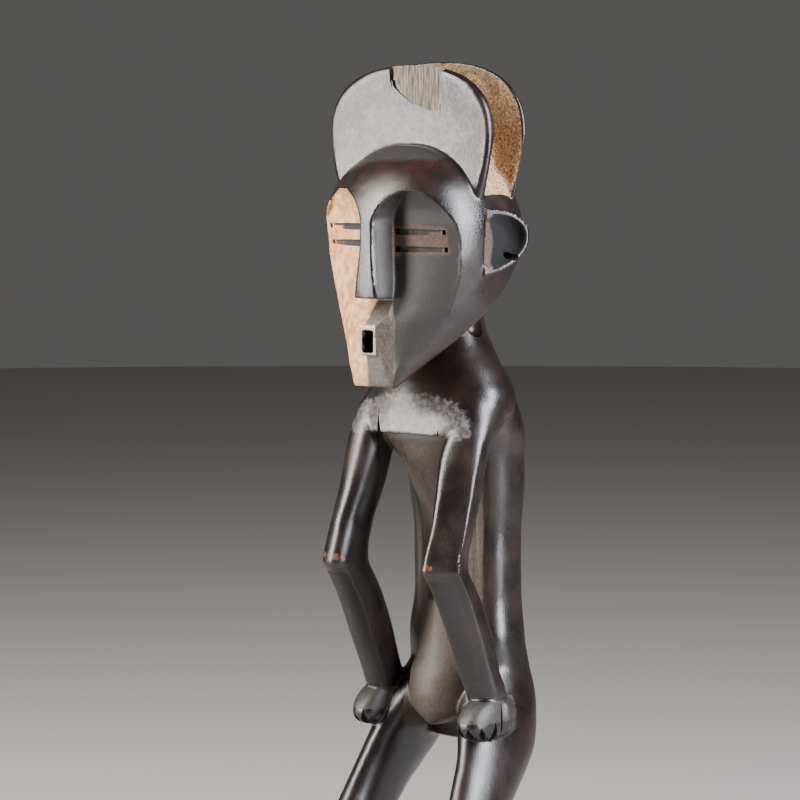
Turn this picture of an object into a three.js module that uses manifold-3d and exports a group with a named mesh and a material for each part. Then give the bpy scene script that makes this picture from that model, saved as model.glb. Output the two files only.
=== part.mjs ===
// Carved wooden figure standing on a low round base: a two-lobed crest, a hollowed heart-shaped
// face, a long body and both hands laid on the thighs, all cut from one block.
// Millimetres, +Z up. The figure faces -Y, and its left side is +X.
// The origin is the centre of the underside of the base.

import * as THREE from 'three';
import { mergeVertices } from 'three/addons/utils/BufferGeometryUtils.js';
import Module from 'manifold-3d';

const wasm = await Module();
wasm.setup();

// Driving dimensions

const BASE = {
  radius: 92,
  height: 26,
  shoulderHeight: 7,
  shoulderWidth: 17.5,
  shoulderSteps: 4,
  foot: 3,
  footHeight: 5,
  sides: 40,
};

// How many sides each round body has.
const SIDES = {
  head: 36,
  trunk: 28,
  belly: 24,
  arm: 16,
  hand: 20,
  leg: 18,
  foot: 18,
  thumb: 10,
  hollow: 14,
  hole: 12,
};

// Each body below is a stack of level rings. A row holds the height of the ring, its edges
// nearest and farthest from the middle of the figure (only the half width for a body on the
// middle line), its front and its back, and how square its corners are (2 is an ellipse). An
// arm's slant is how far its front falls back towards its far edge.

const BACK_ROWS = [
  { z: 236, half: 34, front: 16, back: 58, square: 2.4 },
  { z: 262, half: 50, front: 8, back: 77, square: 2.4 },
  { z: 290, half: 51, front: 6, back: 74, square: 2.6 },
  { z: 320, half: 50, front: 4, back: 66, square: 2.8 },
  { z: 355, half: 46, front: 9, back: 63, square: 3.0 },
  { z: 400, half: 46, front: 9, back: 62, square: 3.1 },
  { z: 440, half: 50, front: 6, back: 61.5, square: 3.1 },
  { z: 468, half: 52, front: 0, back: 61, square: 3.0 },
  { z: 490, half: 57, front: -9, back: 59, square: 2.6 },
  { z: 511, half: 58, front: -20, back: 50, square: 2.4 },
  { z: 530, half: 52, front: -22, back: 44, square: 2.3 },
  { z: 552, half: 40, front: -18, back: 40, square: 2.2 },
  { z: 576, half: 29, front: -14, back: 37, square: 2.1 },
  { z: 604, half: 26, front: -10, back: 34, square: 2.0 },
  { z: 636, half: 24, front: -6, back: 30, square: 2.0 },
];

const CHEST_ROWS = [
  { z: 488, half: 42, front: -42.5, back: 4, square: 5.0 },
  { z: 495, half: 58, front: -41.5, back: 20, square: 3.8 },
  { z: 505, half: 66, front: -39, back: 32, square: 3.0 },
  { z: 518, half: 66, front: -34, back: 38, square: 2.6 },
  { z: 536, half: 56, front: -27, back: 36, square: 2.4 },
  { z: 556, half: 39, front: -19, back: 32, square: 2.2 },
  { z: 580, half: 24, front: -10, back: 24, square: 2.0 },
];

const BELLY_ROWS = [
  { z: 251, half: 5, front: -12, back: 12, square: 1.6 },
  { z: 256, half: 18, front: -15, back: 26, square: 1.8 },
  { z: 264, half: 29, front: -18, back: 40, square: 2.0 },
  { z: 276, half: 34, front: -20, back: 50, square: 2.0 },
  { z: 290, half: 34, front: -18, back: 50, square: 2.0 },
  { z: 306, half: 31, front: -12, back: 46, square: 1.9 },
  { z: 326, half: 30, front: -7, back: 42, square: 1.7 },
  { z: 360, half: 30, front: -4, back: 40, square: 1.6 },
  { z: 400, half: 30, front: -4, back: 40, square: 1.6 },
  { z: 425, half: 30, front: -9, back: 40, square: 1.6 },
  { z: 445, half: 31, front: -19, back: 42, square: 1.85 },
  { z: 458, half: 33, front: -25, back: 43, square: 2.1 },
  { z: 468, half: 36, front: -29, back: 44, square: 2.5 },
  { z: 478, half: 41, front: -32, back: 44, square: 3.2 },
  { z: 486, half: 46, front: -34, back: 44, square: 4.2 },
  { z: 500, half: 48, front: -34, back: 44, square: 4.2 },
];

const ARM_ROWS = [
  { z: 268, near: 43, far: 64, front: -17, back: 12, square: 2.5, slant: 4 },
  { z: 283, near: 39.1, far: 66.4, front: -25.4, back: 10.9, square: 2.3, slant: 8 },
  { z: 298, near: 38.1, far: 65.9, front: -32.9, back: 4.4, square: 2.3, slant: 12 },
  { z: 323, near: 38.6, far: 65.4, front: -45.9, back: -2.6, square: 2.3, slant: 16 },
  { z: 355, near: 38.4, far: 65.1, front: -61.9, back: -16.6, square: 2.3, slant: 20 },
  { z: 373, near: 38.4, far: 65.1, front: -72.9, back: -27.6, square: 2.3, slant: 23 },
  { z: 385, near: 37.9, far: 65.1, front: -80.4, back: -34.6, square: 2.4, slant: 25 },
  { z: 391, near: 37.9, far: 65.1, front: -78.9, back: -34.6, square: 2.4, slant: 25 },
  { z: 414, near: 38.4, far: 65.1, front: -70.9, back: -28.1, square: 2.3, slant: 22 },
  { z: 440, near: 35.4, far: 64.6, front: -61.4, back: -18.1, square: 2.3, slant: 18 },
  { z: 475, near: 32, far: 65.6, front: -49.9, back: -7.6, square: 2.3, slant: 12 },
  { z: 500, near: 33.5, far: 66.5, front: -38.5, back: 12, square: 2.3, slant: 8 },
  { z: 518, near: 34, far: 62, front: -28, back: 20, square: 2.3, slant: 4 },
  { z: 534, near: 30, far: 48, front: -14, back: 16, square: 2.2, slant: 2 },
];
// How much of that slant the right arm has.
const RIGHT_SLANT = 0.15;

const HAND_ROWS = [
  { z: 245.5, near: 49, far: 60, front: -17, back: 4, square: 2 },
  { z: 247.5, near: 44, far: 64.5, front: -29, back: 13, square: 2.2 },
  { z: 251, near: 41, far: 67.5, front: -35, back: 19, square: 2.5 },
  { z: 257, near: 39.5, far: 69, front: -37.5, back: 22, square: 2.7 },
  { z: 263, near: 39.5, far: 69, front: -36.5, back: 22, square: 2.7 },
  { z: 269, near: 40.5, far: 68.5, front: -32, back: 20, square: 2.7 },
  { z: 274.5, near: 42.5, far: 67, front: -25.5, back: 15, square: 2.7 },
  { z: 278, near: 45, far: 64.5, front: -19, back: 9, square: 2.7 },
];

const LEG_ROWS = [
  { z: 22, near: 38, far: 60, front: -24, back: 18, square: 2.4 },
  { z: 48, near: 38.5, far: 60, front: -23, back: 15, square: 2.3 },
  { z: 66, near: 39.5, far: 64, front: -36, back: 11, square: 2.2 },
  { z: 88, near: 40.5, far: 69, front: -56, back: 6, square: 2.2 },
  { z: 112, near: 41, far: 72, front: -74, back: -8, square: 2.2 },
  { z: 132, near: 41.5, far: 73, front: -82, back: -20, square: 2.3 },
  { z: 146, near: 41.5, far: 73, front: -80, back: -19, square: 2.3 },
  { z: 168, near: 40, far: 72.5, front: -68, back: -2, square: 2.2 },
  { z: 190, near: 38.5, far: 71.5, front: -54, back: 17, square: 2.1 },
  { z: 212, near: 35, far: 69, front: -42, back: 39.5, square: 2.1 },
  { z: 233, near: 30, far: 66, front: -31, back: 57.5, square: 2.1 },
  { z: 253, near: 22, far: 62.5, front: -22, back: 65, square: 2.1 },
  { z: 275, near: 12, far: 57, front: -8, back: 70, square: 2.2 },
  { z: 300, near: 8, far: 48, front: 10, back: 66, square: 2.2 },
  { z: 312, near: 16, far: 38, front: 26, back: 54, square: 2.2 },
];

const FOOT_ROWS = [
  { z: 22, near: 33, far: 64, front: -70, back: 24, square: 2.6 },
  { z: 33, near: 33.5, far: 63.5, front: -70, back: 24, square: 2.6 },
  { z: 40, near: 35, far: 62, front: -65, back: 22, square: 2.4 },
  { z: 48, near: 37, far: 60.5, front: -49, back: 19, square: 2.3 },
  { z: 60, near: 40, far: 58, front: -30, back: 12, square: 2.2 },
];

const HEAD_ROWS = [
  { z: 528, half: 21.5, front: -84, wide: -74, back: 0, square: 4.5 },
  { z: 536, half: 28, front: -85.2, wide: -62, back: 10, square: 3.2 },
  { z: 545, half: 36, front: -86.2, wide: -50, back: 18, square: 2.7 },
  { z: 556, half: 45, front: -87.4, wide: -44, back: 24, square: 2.2 },
  { z: 567, half: 53, front: -88.8, wide: -38, back: 30, square: 2.0 },
  { z: 580, half: 61.5, front: -91, wide: -30, back: 36, square: 1.9 },
  { z: 594, half: 67.5, front: -93, wide: -24, back: 40, square: 1.95 },
  { z: 612, half: 71.5, front: -93.5, wide: -20, back: 44, square: 2.2 },
  { z: 634, half: 74, front: -93.5, wide: -18, back: 47, square: 2.45 },
  { z: 656, half: 75.5, front: -93, wide: -18, back: 48, square: 2.4 },
];

// The dome above the last row of the head. The cap leaves a small flat at the very top.
const DOME = { crown: 719.5, levels: 7, square: 2.25, cap: 0.35 };

// The underside of the head rises backwards from the chin. The cutter is a block of this size.
const JAW = { chinFront: -79, chinHeight: 527.5, rise: 45, cutter: 400 };

// The hollowed cheek and eye field on each side of the nose. A row holds the height, the edge of
// the nose, the foot of its wall, the rim, and the depth of each: all on the figure's left side.
const FIELD_ROWS = [
  { z: 531, nose: 18.6, foot: 19.4, rim: 20.8, noseY: -83.4, footY: -82.4, rimY: -81.4 },
  { z: 540, nose: 13.8, foot: 20.5, rim: 27.8, noseY: -85.2, footY: -81.2, rimY: -76.6 },
  { z: 553, nose: 10.0, foot: 20.0, rim: 38.4, noseY: -87.2, footY: -81.0, rimY: -67.5 },
  { z: 577, nose: 8.0, foot: 19.5, rim: 51.4, noseY: -88.8, footY: -80.0, rimY: -60.0 },
  { z: 595, nose: 10.9, foot: 12.5, rim: 58.7, noseY: -93.5, footY: -73.5, rimY: -56.8 },
  { z: 612, nose: 8.8, foot: 11.6, rim: 64.2, noseY: -93.5, footY: -70.8, rimY: -55.2 },
  { z: 628, nose: 6.8, foot: 10.2, rim: 66.6, noseY: -93.5, footY: -69.8, rimY: -55.6 },
  { z: 640, nose: 5.9, foot: 9.6, rim: 67.5, noseY: -93.5, footY: -69.5, rimY: -57.1 },
  { z: 655, nose: 5.5, foot: 10.0, rim: 65.7, noseY: -93.0, footY: -70.0, rimY: -61.6 },
  { z: 666, nose: 9.5, foot: 13.5, rim: 58.8, noseY: -91.5, footY: -71.0, rimY: -64.6 },
  { z: 675, nose: 17.0, foot: 20.5, rim: 50.2, noseY: -88.5, footY: -73.5, rimY: -70.2 },
  { z: 681, nose: 27.0, foot: 29.5, rim: 39.9, noseY: -84.5, footY: -77.0, rimY: -75.2 },
];
const FIELD_BULGE = 2.5;
const FIELD_STEPS = 4;
const FRONT_OF_FACE = -130;

// The bridge of the nose leans towards the left side, by this much above two heights.
const NOSE_LEAN = { shift: 1.3, from: 608, to: 640 };

// The undercut below the nose. The lip slopes back by step over the last rise of its height.
const LIP = { base: 597, ledge: 573.2, rise: 4, step: 0.6, lipY: -88.4, rootY: -72, half: 24.5 };
const MOUTH = {
  middle: -0.3,
  bottom: 554.7,
  top: 572.2,
  half: 5.7,
  depth: 26,
  rimHalf: 7.55,
  rimOut: 1.0,
  rimBelow: 1.6,
  rimAbove: 4.0,
  rimThick: 10,
  clear: 5,
};
// The slots of the left eye, then those of the right one: how far out they reach, and how tall
// they are next to the nose and at the outer end.
const EYES = [
  { heights: [649, 635.5], to: 57, tall: 4.8, short: 3.8 },
  { heights: [652, 639], to: 62, tall: 5.5, short: 3.6 },
];
const EYE_SLOTS = { from: 10.8, depth: 4.5, pit: 3.2, pitDepth: 8, clear: 12 };

const CREST = {
  half: 81.5,
  rearHalf: 83,
  waist: 724,
  top: 778,
  rearTop: 781,
  square: 2.4,
  footHalf: 66,
  foot: 660,
  flare: 1.6,
  sideSteps: 3,
  frontFace: -41,
  frontBack: -33,
  frontRound: 2.5,
  rearFace: 1,
  rearBack: 4.5,
  rearSwell: 8.5,
  swellZ: 720,
  swellRadius: 60,
  swellSides: 44,
  floorHalf: 50,
  floorTop: 742,
  floorFootHalf: 64,
  inset: 2,
  steps: 20,
  dish: 4,
  dishZ: 732,
  dishSides: 56,
};
// The chip in the front lobe: its lower edge in X and Z from the right side to the left, how far
// it leans out at the left end, and its grooves.
const CHIP = {
  edge: [[-19, 776], [-16, 762], [-10.4, 756.5], [3, 747.5], [29.2, 739], [33, 756]],
  lean: 3,
  floor: -37,
  over: 12,
  grooves: 6,
  grooveDepth: 0.9,
  grooveShare: 0.5,
  grooveRise: 5,
};

const EAR = {
  middleY: -35,
  middleZ: 640.2,
  height: 51,
  reach: 41,
  lean: 0.12,
  inner: 62,
  outer: 87,
  rim: 1,
  wall: 3.6,
  floor: 71.5,
  slope: -17,
  cutter: 120,
  hole: 3.5,
  holeLength: 30,
  holeY: -8,
  holeZ: 629.3,
  steps: 14,
};

const NECK_HOLLOW = { x: 31, y: 7, z: 573.5, rx: 10, ry: 9.5, rz: 10.5 };

// The knife cuts at both ends of the ledge under the chest.
const NOTCHES = [{ x: -28, height: 20, half: 2.2 }, { x: 31, height: 10, half: 1.3 }];
const LEDGE = { low: 484, front: -47, depth: 13 };

// The V cuts between the fingers, at these places in X and Y round the front of each hand.
const FINGERS = {
  places: [[50, -36], [58.6, -34.5], [65, -27], [68.8, -14.5]],
  half: 4.9,
  reach: 8.5,
  top: 261,
  bottom: 240,
};
const HAND = { x: 54, y: -8 };
const THUMB = { x: 67, y: 0.5, z: 263, rx: 3.9, ry: 5.4, rz: 12.5 };
const TOES = { count: 4, from: 38.5, to: 58.5, width: 2.4, depth: 15, front: 10, low: 3, high: 40 };

// Tools

/** A closed geometry as a solid for joining and cutting. */
function solid(geometry) {
  const plain = geometry.index ? geometry.clone() : mergeVertices(geometry.clone());
  plain.deleteAttribute('normal');
  plain.deleteAttribute('uv');
  const merged = mergeVertices(plain, 1e-4);
  const triangles = [];
  for (let i = 0; i < merged.index.count; i += 3) {
    const [a, b, c] = [0, 1, 2].map((k) => merged.index.getX(i + k));
    if (a !== b && b !== c && c !== a) triangles.push(a, b, c);
  }
  return new wasm.Manifold(new wasm.Mesh({
    numProp: 3,
    vertProperties: Float32Array.from(merged.attributes.position.array),
    triVerts: Uint32Array.from(triangles),
  }));
}

/** The same geometry on the figure's other side. */
function mirrored(geometry) {
  const other = geometry.clone().scale(-1, 1, 1);
  const index = other.index;
  for (let i = 0; i < index.count; i += 3) {
    const first = index.getX(i);
    index.setX(i, index.getX(i + 1));
    index.setX(i + 1, first);
  }
  return other;
}

/** Moves each point of an upright unit cylinder to place(height, angle, onRim). */
function reshaped(sides, levels, place) {
  const geometry = new THREE.CylinderGeometry(1, 1, 1, sides, levels).rotateX(Math.PI / 2);
  const position = geometry.attributes.position;
  const point = new THREE.Vector3();
  for (let i = 0; i < position.count; i += 1) {
    point.fromBufferAttribute(position, i);
    const height = Math.min(1, Math.max(0, point.z + 0.5));
    const radius = Math.hypot(point.x, point.y);
    const moved = place(height, Math.atan2(point.y, point.x), radius > 0.5);
    position.setXYZ(i, moved.x, moved.y, moved.z);
  }
  return geometry;
}

/** The signed power that turns a circle's sine or cosine into a squarer one. */
function squared(value, square) {
  return Math.sign(value) * Math.abs(value) ** (2 / square);
}

/** One point of a level ring that belongs to a row. */
function ringPoint(row, angle, onRim) {
  const middleX = row.half === undefined ? (row.near + row.far) / 2 : 0;
  const half = row.half === undefined ? (row.far - row.near) / 2 : row.half;
  const middleY = row.wide === undefined ? (row.front + row.back) / 2 : row.wide;
  if (!onRim) return new THREE.Vector3(middleX, middleY, row.z);
  const reach = Math.sin(angle) < 0 ? middleY - row.front : row.back - middleY;
  const across = squared(Math.cos(angle), row.square);
  const along = squared(Math.sin(angle), row.square);
  const fall = (row.slant ?? 0) * ((1 + across) / 2) * Math.max(0, -along);
  return new THREE.Vector3(middleX + half * across, middleY + reach * along + fall, row.z);
}

/** A closed body through level rings, one for each row from the lowest up. */
function stack(rows, sides) {
  return reshaped(sides, rows.length - 1, (height, angle, onRim) => (
    ringPoint(rows[Math.round(height * (rows.length - 1))], angle, onRim)
  ));
}

/** A box between two corners. */
function block(low, high) {
  const size = high.map((value, k) => value - low[k]);
  const middle = high.map((value, k) => (value + low[k]) / 2);
  return new THREE.BoxGeometry(...size).translate(...middle);
}

/** An ellipsoid. */
function pebble(x, y, z, rx, ry, rz, segments) {
  return new THREE.SphereGeometry(1, segments, segments / 2)
    .rotateX(Math.PI / 2).scale(rx, ry, rz).translate(x, y, z);
}

/**
 * A flat outline in X and Z, given as points, pulled out along Y from one depth to another, with
 * its edges cut off by round.
 */
function plate(points, fromY, toY, round = 0) {
  const geometry = new THREE.ExtrudeGeometry(new THREE.Shape(points), {
    depth: toY - fromY - 2 * round,
    bevelEnabled: round > 0,
    bevelThickness: round,
    bevelSize: round,
    bevelOffset: -round,
    bevelSegments: 1,
  });
  return geometry.rotateX(Math.PI / 2).translate(0, toY - round, 0);
}

/** A flat outline in Y and Z, given as points, pulled out along X from one place to another. */
function sidePlate(points, fromX, toX) {
  const shape = new THREE.Shape(points);
  return new THREE.ExtrudeGeometry(shape, { depth: toX - fromX, bevelEnabled: false })
    .rotateX(Math.PI / 2).rotateZ(Math.PI / 2).translate(fromX, 0, 0);
}

/** The sum of solids. */
function joined(...bodies) {
  return bodies.reduce((sum, body) => sum.add(body));
}

/** A geometry and its mirror image as one solid. */
function pair(geometry) {
  return solid(geometry).add(solid(mirrored(geometry)));
}

/** An ellipsoid whose middle and radii are an object's x, y, z, rx, ry and rz. */
function pebbleOf(sizes, segments) {
  return pebble(sizes.x, sizes.y, sizes.z, sizes.rx, sizes.ry, sizes.rz, segments);
}

// Head

/** The rows of the dome, worked out from the last row of the head. */
function domeRows() {
  const brow = HEAD_ROWS[HEAD_ROWS.length - 1];
  const rise = DOME.crown - brow.z;
  return Array.from({ length: DOME.levels }, (_, i) => {
    const turn = ((i + 1) / (DOME.levels + DOME.cap)) * (Math.PI / 2);
    const shrink = Math.cos(turn);
    return {
      z: brow.z + rise * Math.sin(turn),
      half: brow.half * shrink,
      wide: brow.wide,
      front: brow.wide + (brow.front - brow.wide) * shrink,
      back: brow.wide + (brow.back - brow.wide) * shrink,
      square: DOME.square,
    };
  });
}

/** The skull and jaw before the face is cut. */
function skull() {
  const size = JAW.cutter;
  const underside = new THREE.BoxGeometry(size, size, size).translate(0, size / 2, -size / 2)
    .rotateX(THREE.MathUtils.degToRad(JAW.rise)).translate(0, JAW.chinFront, JAW.chinHeight);
  return solid(stack([...HEAD_ROWS, ...domeRows()], SIDES.head)).subtract(solid(underside));
}

/** The outline of a lobe of the crest, from its foot on one side over the top to the other. */
function lobeOutline(half, top, footHalf) {
  const upper = Array.from({ length: CREST.steps + 1 }, (_, i) => {
    const angle = (i / CREST.steps) * Math.PI;
    return new THREE.Vector2(
      half * squared(Math.cos(angle), CREST.square),
      CREST.waist + (top - CREST.waist) * squared(Math.sin(angle), CREST.square),
    );
  });
  const side = (sign) => Array.from({ length: CREST.sideSteps }, (_, i) => {
    const t = (i + 1) / CREST.sideSteps;
    return new THREE.Vector2(
      sign * (half + (footHalf - half) * t ** CREST.flare),
      CREST.waist + (CREST.foot - CREST.waist) * t,
    );
  });
  return [...side(1).reverse(), ...upper, ...side(-1)];
}

/** The height of the chip's lower edge at a place across the lobe. */
function chipLow(x) {
  const right = Math.max(1, CHIP.edge.findIndex(([edgeX]) => edgeX >= x));
  const [[x0, z0], [x1, z1]] = [CHIP.edge[right - 1], CHIP.edge[right]];
  return THREE.MathUtils.lerp(z0, z1, (x - x0) / (x1 - x0));
}

/** The chip in the front lobe: a shallow floor with grooves along the grain. */
function chip() {
  const high = CREST.top + CHIP.over;
  const before = CREST.frontFace - CHIP.over;
  const [left, right] = [CHIP.edge[0][0], CHIP.edge[CHIP.edge.length - 1][0]];
  const corners = [[left, high], ...CHIP.edge, [right + CHIP.lean, high]];
  const outline = corners.map(([x, z]) => new THREE.Vector2(x, z));
  const width = (right - left) / CHIP.grooves;
  const grooves = Array.from({ length: CHIP.grooves }, (_, i) => {
    const x = left + i * width;
    const end = x + width * CHIP.grooveShare;
    const low = Math.max(chipLow(x), chipLow(end)) + CHIP.grooveRise;
    return solid(block([x, before, low], [end, CHIP.floor + CHIP.grooveDepth, high]));
  });
  return joined(solid(plate(outline, before, CHIP.floor)), ...grooves);
}

/** The rear lobe: flat in front and swollen behind. */
function rearLobe() {
  const outline = lobeOutline(CREST.rearHalf, CREST.rearTop, CREST.footHalf);
  const spread = Math.sqrt(CREST.swellRadius / (2 * CREST.rearSwell));
  const behind = CREST.rearBack + CREST.rearSwell;
  const swell = pebble(
    0, behind - CREST.swellRadius, CREST.swellZ,
    CREST.rearHalf * spread, CREST.swellRadius, (CREST.rearTop - CREST.swellZ) * spread,
    CREST.swellSides,
  );
  return solid(plate(outline, CREST.rearFace, behind)).intersect(solid(swell));
}

/** The two lobes of the crest, the floor between them and the chip in the front one. */
function crest() {
  const lobe = lobeOutline(CREST.half, CREST.top, CREST.footHalf);
  const floor = lobeOutline(CREST.floorHalf, CREST.floorTop, CREST.floorFootHalf);
  const front = solid(plate(lobe, CREST.frontFace, CREST.frontBack, CREST.frontRound));
  const between = solid(plate(
    floor, CREST.frontFace + CREST.inset, CREST.rearBack - CREST.inset,
  ));
  const radius = (CREST.half ** 2) / (2 * CREST.dish);
  const middleY = CREST.frontFace + CREST.dish - radius;
  const dish = solid(pebble(0, middleY, CREST.dishZ, radius, radius, radius, CREST.dishSides));
  return joined(front.subtract(chip()).subtract(dish), rearLobe(), between);
}

/** The space cut away before one cheek and eye: side is 1 for the left and -1 for the right. */
function field(side) {
  const sides = FIELD_STEPS + 5;
  const ring = (row) => {
    const lean = THREE.MathUtils.smoothstep(row.z, NOSE_LEAN.from, NOSE_LEAN.to);
    const nose = row.nose + side * NOSE_LEAN.shift * lean;
    const points = [
      new THREE.Vector3(nose, FRONT_OF_FACE, row.z),
      new THREE.Vector3(row.rim, FRONT_OF_FACE, row.z),
      new THREE.Vector3(row.rim, row.rimY, row.z),
    ];
    for (let i = 1; i <= FIELD_STEPS; i += 1) {
      const t = i / (FIELD_STEPS + 1);
      points.push(new THREE.Vector3(
        THREE.MathUtils.lerp(row.rim, row.foot, t),
        THREE.MathUtils.lerp(row.rimY, row.footY, t) - FIELD_BULGE * Math.sin(Math.PI * t),
        row.z,
      ));
    }
    points.push(new THREE.Vector3(row.foot, row.footY, row.z));
    points.push(new THREE.Vector3(nose, row.noseY, row.z));
    return points;
  };
  const rings = FIELD_ROWS.map(ring);
  const middle = (points) => points.reduce((sum, p) => sum.add(p), new THREE.Vector3())
    .divideScalar(points.length);
  return reshaped(sides, rings.length - 1, (height, angle, onRim) => {
    const points = rings[Math.round(height * (rings.length - 1))];
    if (!onRim) return middle(points);
    const step = Math.round((angle / (2 * Math.PI)) * sides + sides) % sides;
    return points[step];
  });
}

/** The undercut below the nose: the space in front of the upper lip. */
function lipCut() {
  const points = [
    new THREE.Vector2(LIP.rootY, LIP.base),
    new THREE.Vector2(FRONT_OF_FACE, LIP.base),
    new THREE.Vector2(FRONT_OF_FACE, LIP.ledge),
    new THREE.Vector2(LIP.lipY - LIP.step, LIP.ledge),
    new THREE.Vector2(LIP.lipY, LIP.ledge + LIP.rise),
  ];
  return sidePlate(points, -LIP.half, LIP.half);
}

/** The raised rim round the mouth. */
function mouthRim() {
  const front = LIP.lipY - MOUTH.rimOut;
  return solid(block(
    [MOUTH.middle - MOUTH.rimHalf, front, MOUTH.bottom - MOUTH.rimBelow],
    [MOUTH.middle + MOUTH.rimHalf, front + MOUTH.rimThick, MOUTH.top + MOUTH.rimAbove],
  ));
}

/** The deep square hole of the mouth. */
function mouthHole() {
  const front = LIP.lipY - MOUTH.rimOut;
  return solid(block(
    [MOUTH.middle - MOUTH.half, front - MOUTH.clear, MOUTH.bottom],
    [MOUTH.middle + MOUTH.half, front + MOUTH.depth, MOUTH.top],
  ));
}

/** The depth of the face at a place on the cheek and eye field. */
function fieldDepth(x, z) {
  const above = Math.max(1, FIELD_ROWS.findIndex((row) => row.z >= z));
  const [low, high] = [FIELD_ROWS[above - 1], FIELD_ROWS[above]];
  const t = (z - low.z) / (high.z - low.z);
  const at = (key) => THREE.MathUtils.lerp(low[key], high[key], t);
  const across = (x - at('rim')) / (at('foot') - at('rim'));
  return THREE.MathUtils.lerp(at('rimY'), at('footY'), across)
    - FIELD_BULGE * Math.sin(Math.PI * THREE.MathUtils.clamp(across, 0, 1));
}

/** The two slots of one eye, each with a deeper pit at both ends, on the left side. */
function eyeSlots(eye) {
  const { from, depth, pit, pitDepth, clear } = EYE_SLOTS;
  const cuts = [];
  for (const z of eye.heights) {
    const [nearY, farY] = [fieldDepth(from, z), fieldDepth(eye.to, z)];
    const length = Math.hypot(eye.to - from, farY - nearY);
    const turn = Math.atan2(farY - nearY, eye.to - from);
    const bar = (start, end, floor, tall) => block(
      [start, -clear, -tall / 2],
      [end, floor - FIELD_BULGE, tall / 2],
    ).rotateZ(turn).translate(from, nearY, z);
    cuts.push(
      bar(0, length, depth, (eye.tall + eye.short) / 2),
      bar(0, pit, pitDepth, eye.tall),
      bar(length - pit, length, pitDepth, eye.short),
    );
  }
  return cuts;
}

/** The slots of both eyes. */
function eyes() {
  const [left, right] = EYES.map(eyeSlots);
  return joined(...left.map(solid), ...right.map((cut) => solid(mirrored(cut))));
}

/** A half round in Y and Z, open side forward and smaller by a margin, pulled out along X. */
function halfRound(margin, fromX, toX) {
  const points = Array.from({ length: EAR.steps + 1 }, (_, i) => {
    const angle = (i / EAR.steps - 0.5) * Math.PI;
    const back = (EAR.reach - margin) * Math.cos(angle);
    const up = (EAR.height / 2 - margin) * Math.sin(angle);
    return new THREE.Vector2(EAR.middleY + back, EAR.middleZ + up + EAR.lean * back);
  });
  return sidePlate(points, fromX, toX);
}

/** The left ear: a half-round cup that opens forwards and outwards, with a drilled hole. */
function ear() {
  const slope = new THREE.BoxGeometry(EAR.cutter, 2 * EAR.cutter, EAR.cutter)
    .translate(EAR.cutter / 2, 0, 0)
    .rotateZ(THREE.MathUtils.degToRad(EAR.slope))
    .translate(EAR.outer - EAR.rim, EAR.middleY + EAR.reach, EAR.middleZ);
  return solid(halfRound(0, EAR.inner, EAR.outer)).subtract(solid(slope));
}

/** The bowl of the left ear and its hole. */
function earHollow() {
  const hole = new THREE.CylinderGeometry(EAR.hole, EAR.hole, EAR.holeLength, SIDES.hole)
    .rotateZ(Math.PI / 2).translate(EAR.floor, EAR.holeY, EAR.holeZ);
  return solid(halfRound(EAR.wall, EAR.floor, EAR.floor + EAR.holeLength)).add(solid(hole));
}

/** A solid's mirror image, made from its own mesh. */
function mirroredSolid(body) {
  const mesh = body.getMesh();
  const geometry = new THREE.BufferGeometry();
  geometry.setAttribute('position', new THREE.BufferAttribute(mesh.vertProperties.slice(), 3));
  geometry.setIndex(new THREE.BufferAttribute(mesh.triVerts.slice(), 1));
  return solid(mirrored(geometry));
}

/** A solid and its mirror image. */
function bothSides(body) {
  return body.add(mirroredSolid(body));
}

/** The whole head with its crest and ears. */
function head() {
  const rough = joined(skull(), crest(), bothSides(ear()));
  const fields = solid(field(1)).add(solid(mirrored(field(-1))));
  const face = rough.subtract(fields).subtract(solid(lipCut()));
  return face.add(mouthRim()).subtract(mouthHole())
    .subtract(eyes()).subtract(bothSides(earHollow()));
}

// Body and limbs

/** The V cuts between the fingers of both hands. */
function fingerCuts() {
  const height = FINGERS.top - FINGERS.bottom;
  const cuts = FINGERS.places.map(([x, y]) => new THREE.ConeGeometry(1, height, 4)
    .rotateX(Math.PI / 2)
    .scale(FINGERS.reach, FINGERS.half, 1)
    .rotateZ(Math.atan2(y - HAND.y, x - HAND.x))
    .translate(x, y, FINGERS.bottom + height / 2));
  return joined(...cuts.map(pair));
}

/** The grooves between the toes. */
function toeCuts() {
  const step = (TOES.to - TOES.from) / (TOES.count - 1);
  const cuts = Array.from({ length: TOES.count }, (_, i) => {
    const x = TOES.from + i * step;
    return block(
      [x - TOES.width / 2, FOOT_ROWS[0].front - TOES.front, BASE.height + TOES.low],
      [x + TOES.width / 2, FOOT_ROWS[0].front + TOES.depth, BASE.height + TOES.high],
    );
  });
  return joined(...cuts.map(pair));
}

/** Both arms: the right one is the left one's mirror image with less slant. */
function arms() {
  const flatter = ARM_ROWS.map((row) => ({ ...row, slant: row.slant * RIGHT_SLANT }));
  return solid(stack(ARM_ROWS, SIDES.arm)).add(solid(mirrored(stack(flatter, SIDES.arm))));
}

/** The arms, hands, legs and feet. */
function limbs() {
  const palms = pair(stack(HAND_ROWS, SIDES.hand)).add(pair(pebbleOf(THUMB, SIDES.thumb)));
  const feet = pair(stack(FOOT_ROWS, SIDES.foot)).subtract(toeCuts());
  const legs = pair(stack(LEG_ROWS, SIDES.leg));
  return joined(arms(), palms, legs, feet).subtract(fingerCuts());
}

/** The knife cuts at the ends of the ledge. */
function ledgeNotches() {
  return joined(...NOTCHES.map(({ x, height, half }) => solid(plate(
    [
      new THREE.Vector2(x - half, LEDGE.low),
      new THREE.Vector2(x + half, LEDGE.low),
      new THREE.Vector2(x, LEDGE.low + height),
    ],
    LEDGE.front,
    LEDGE.front + LEDGE.depth,
  ))));
}

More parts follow.
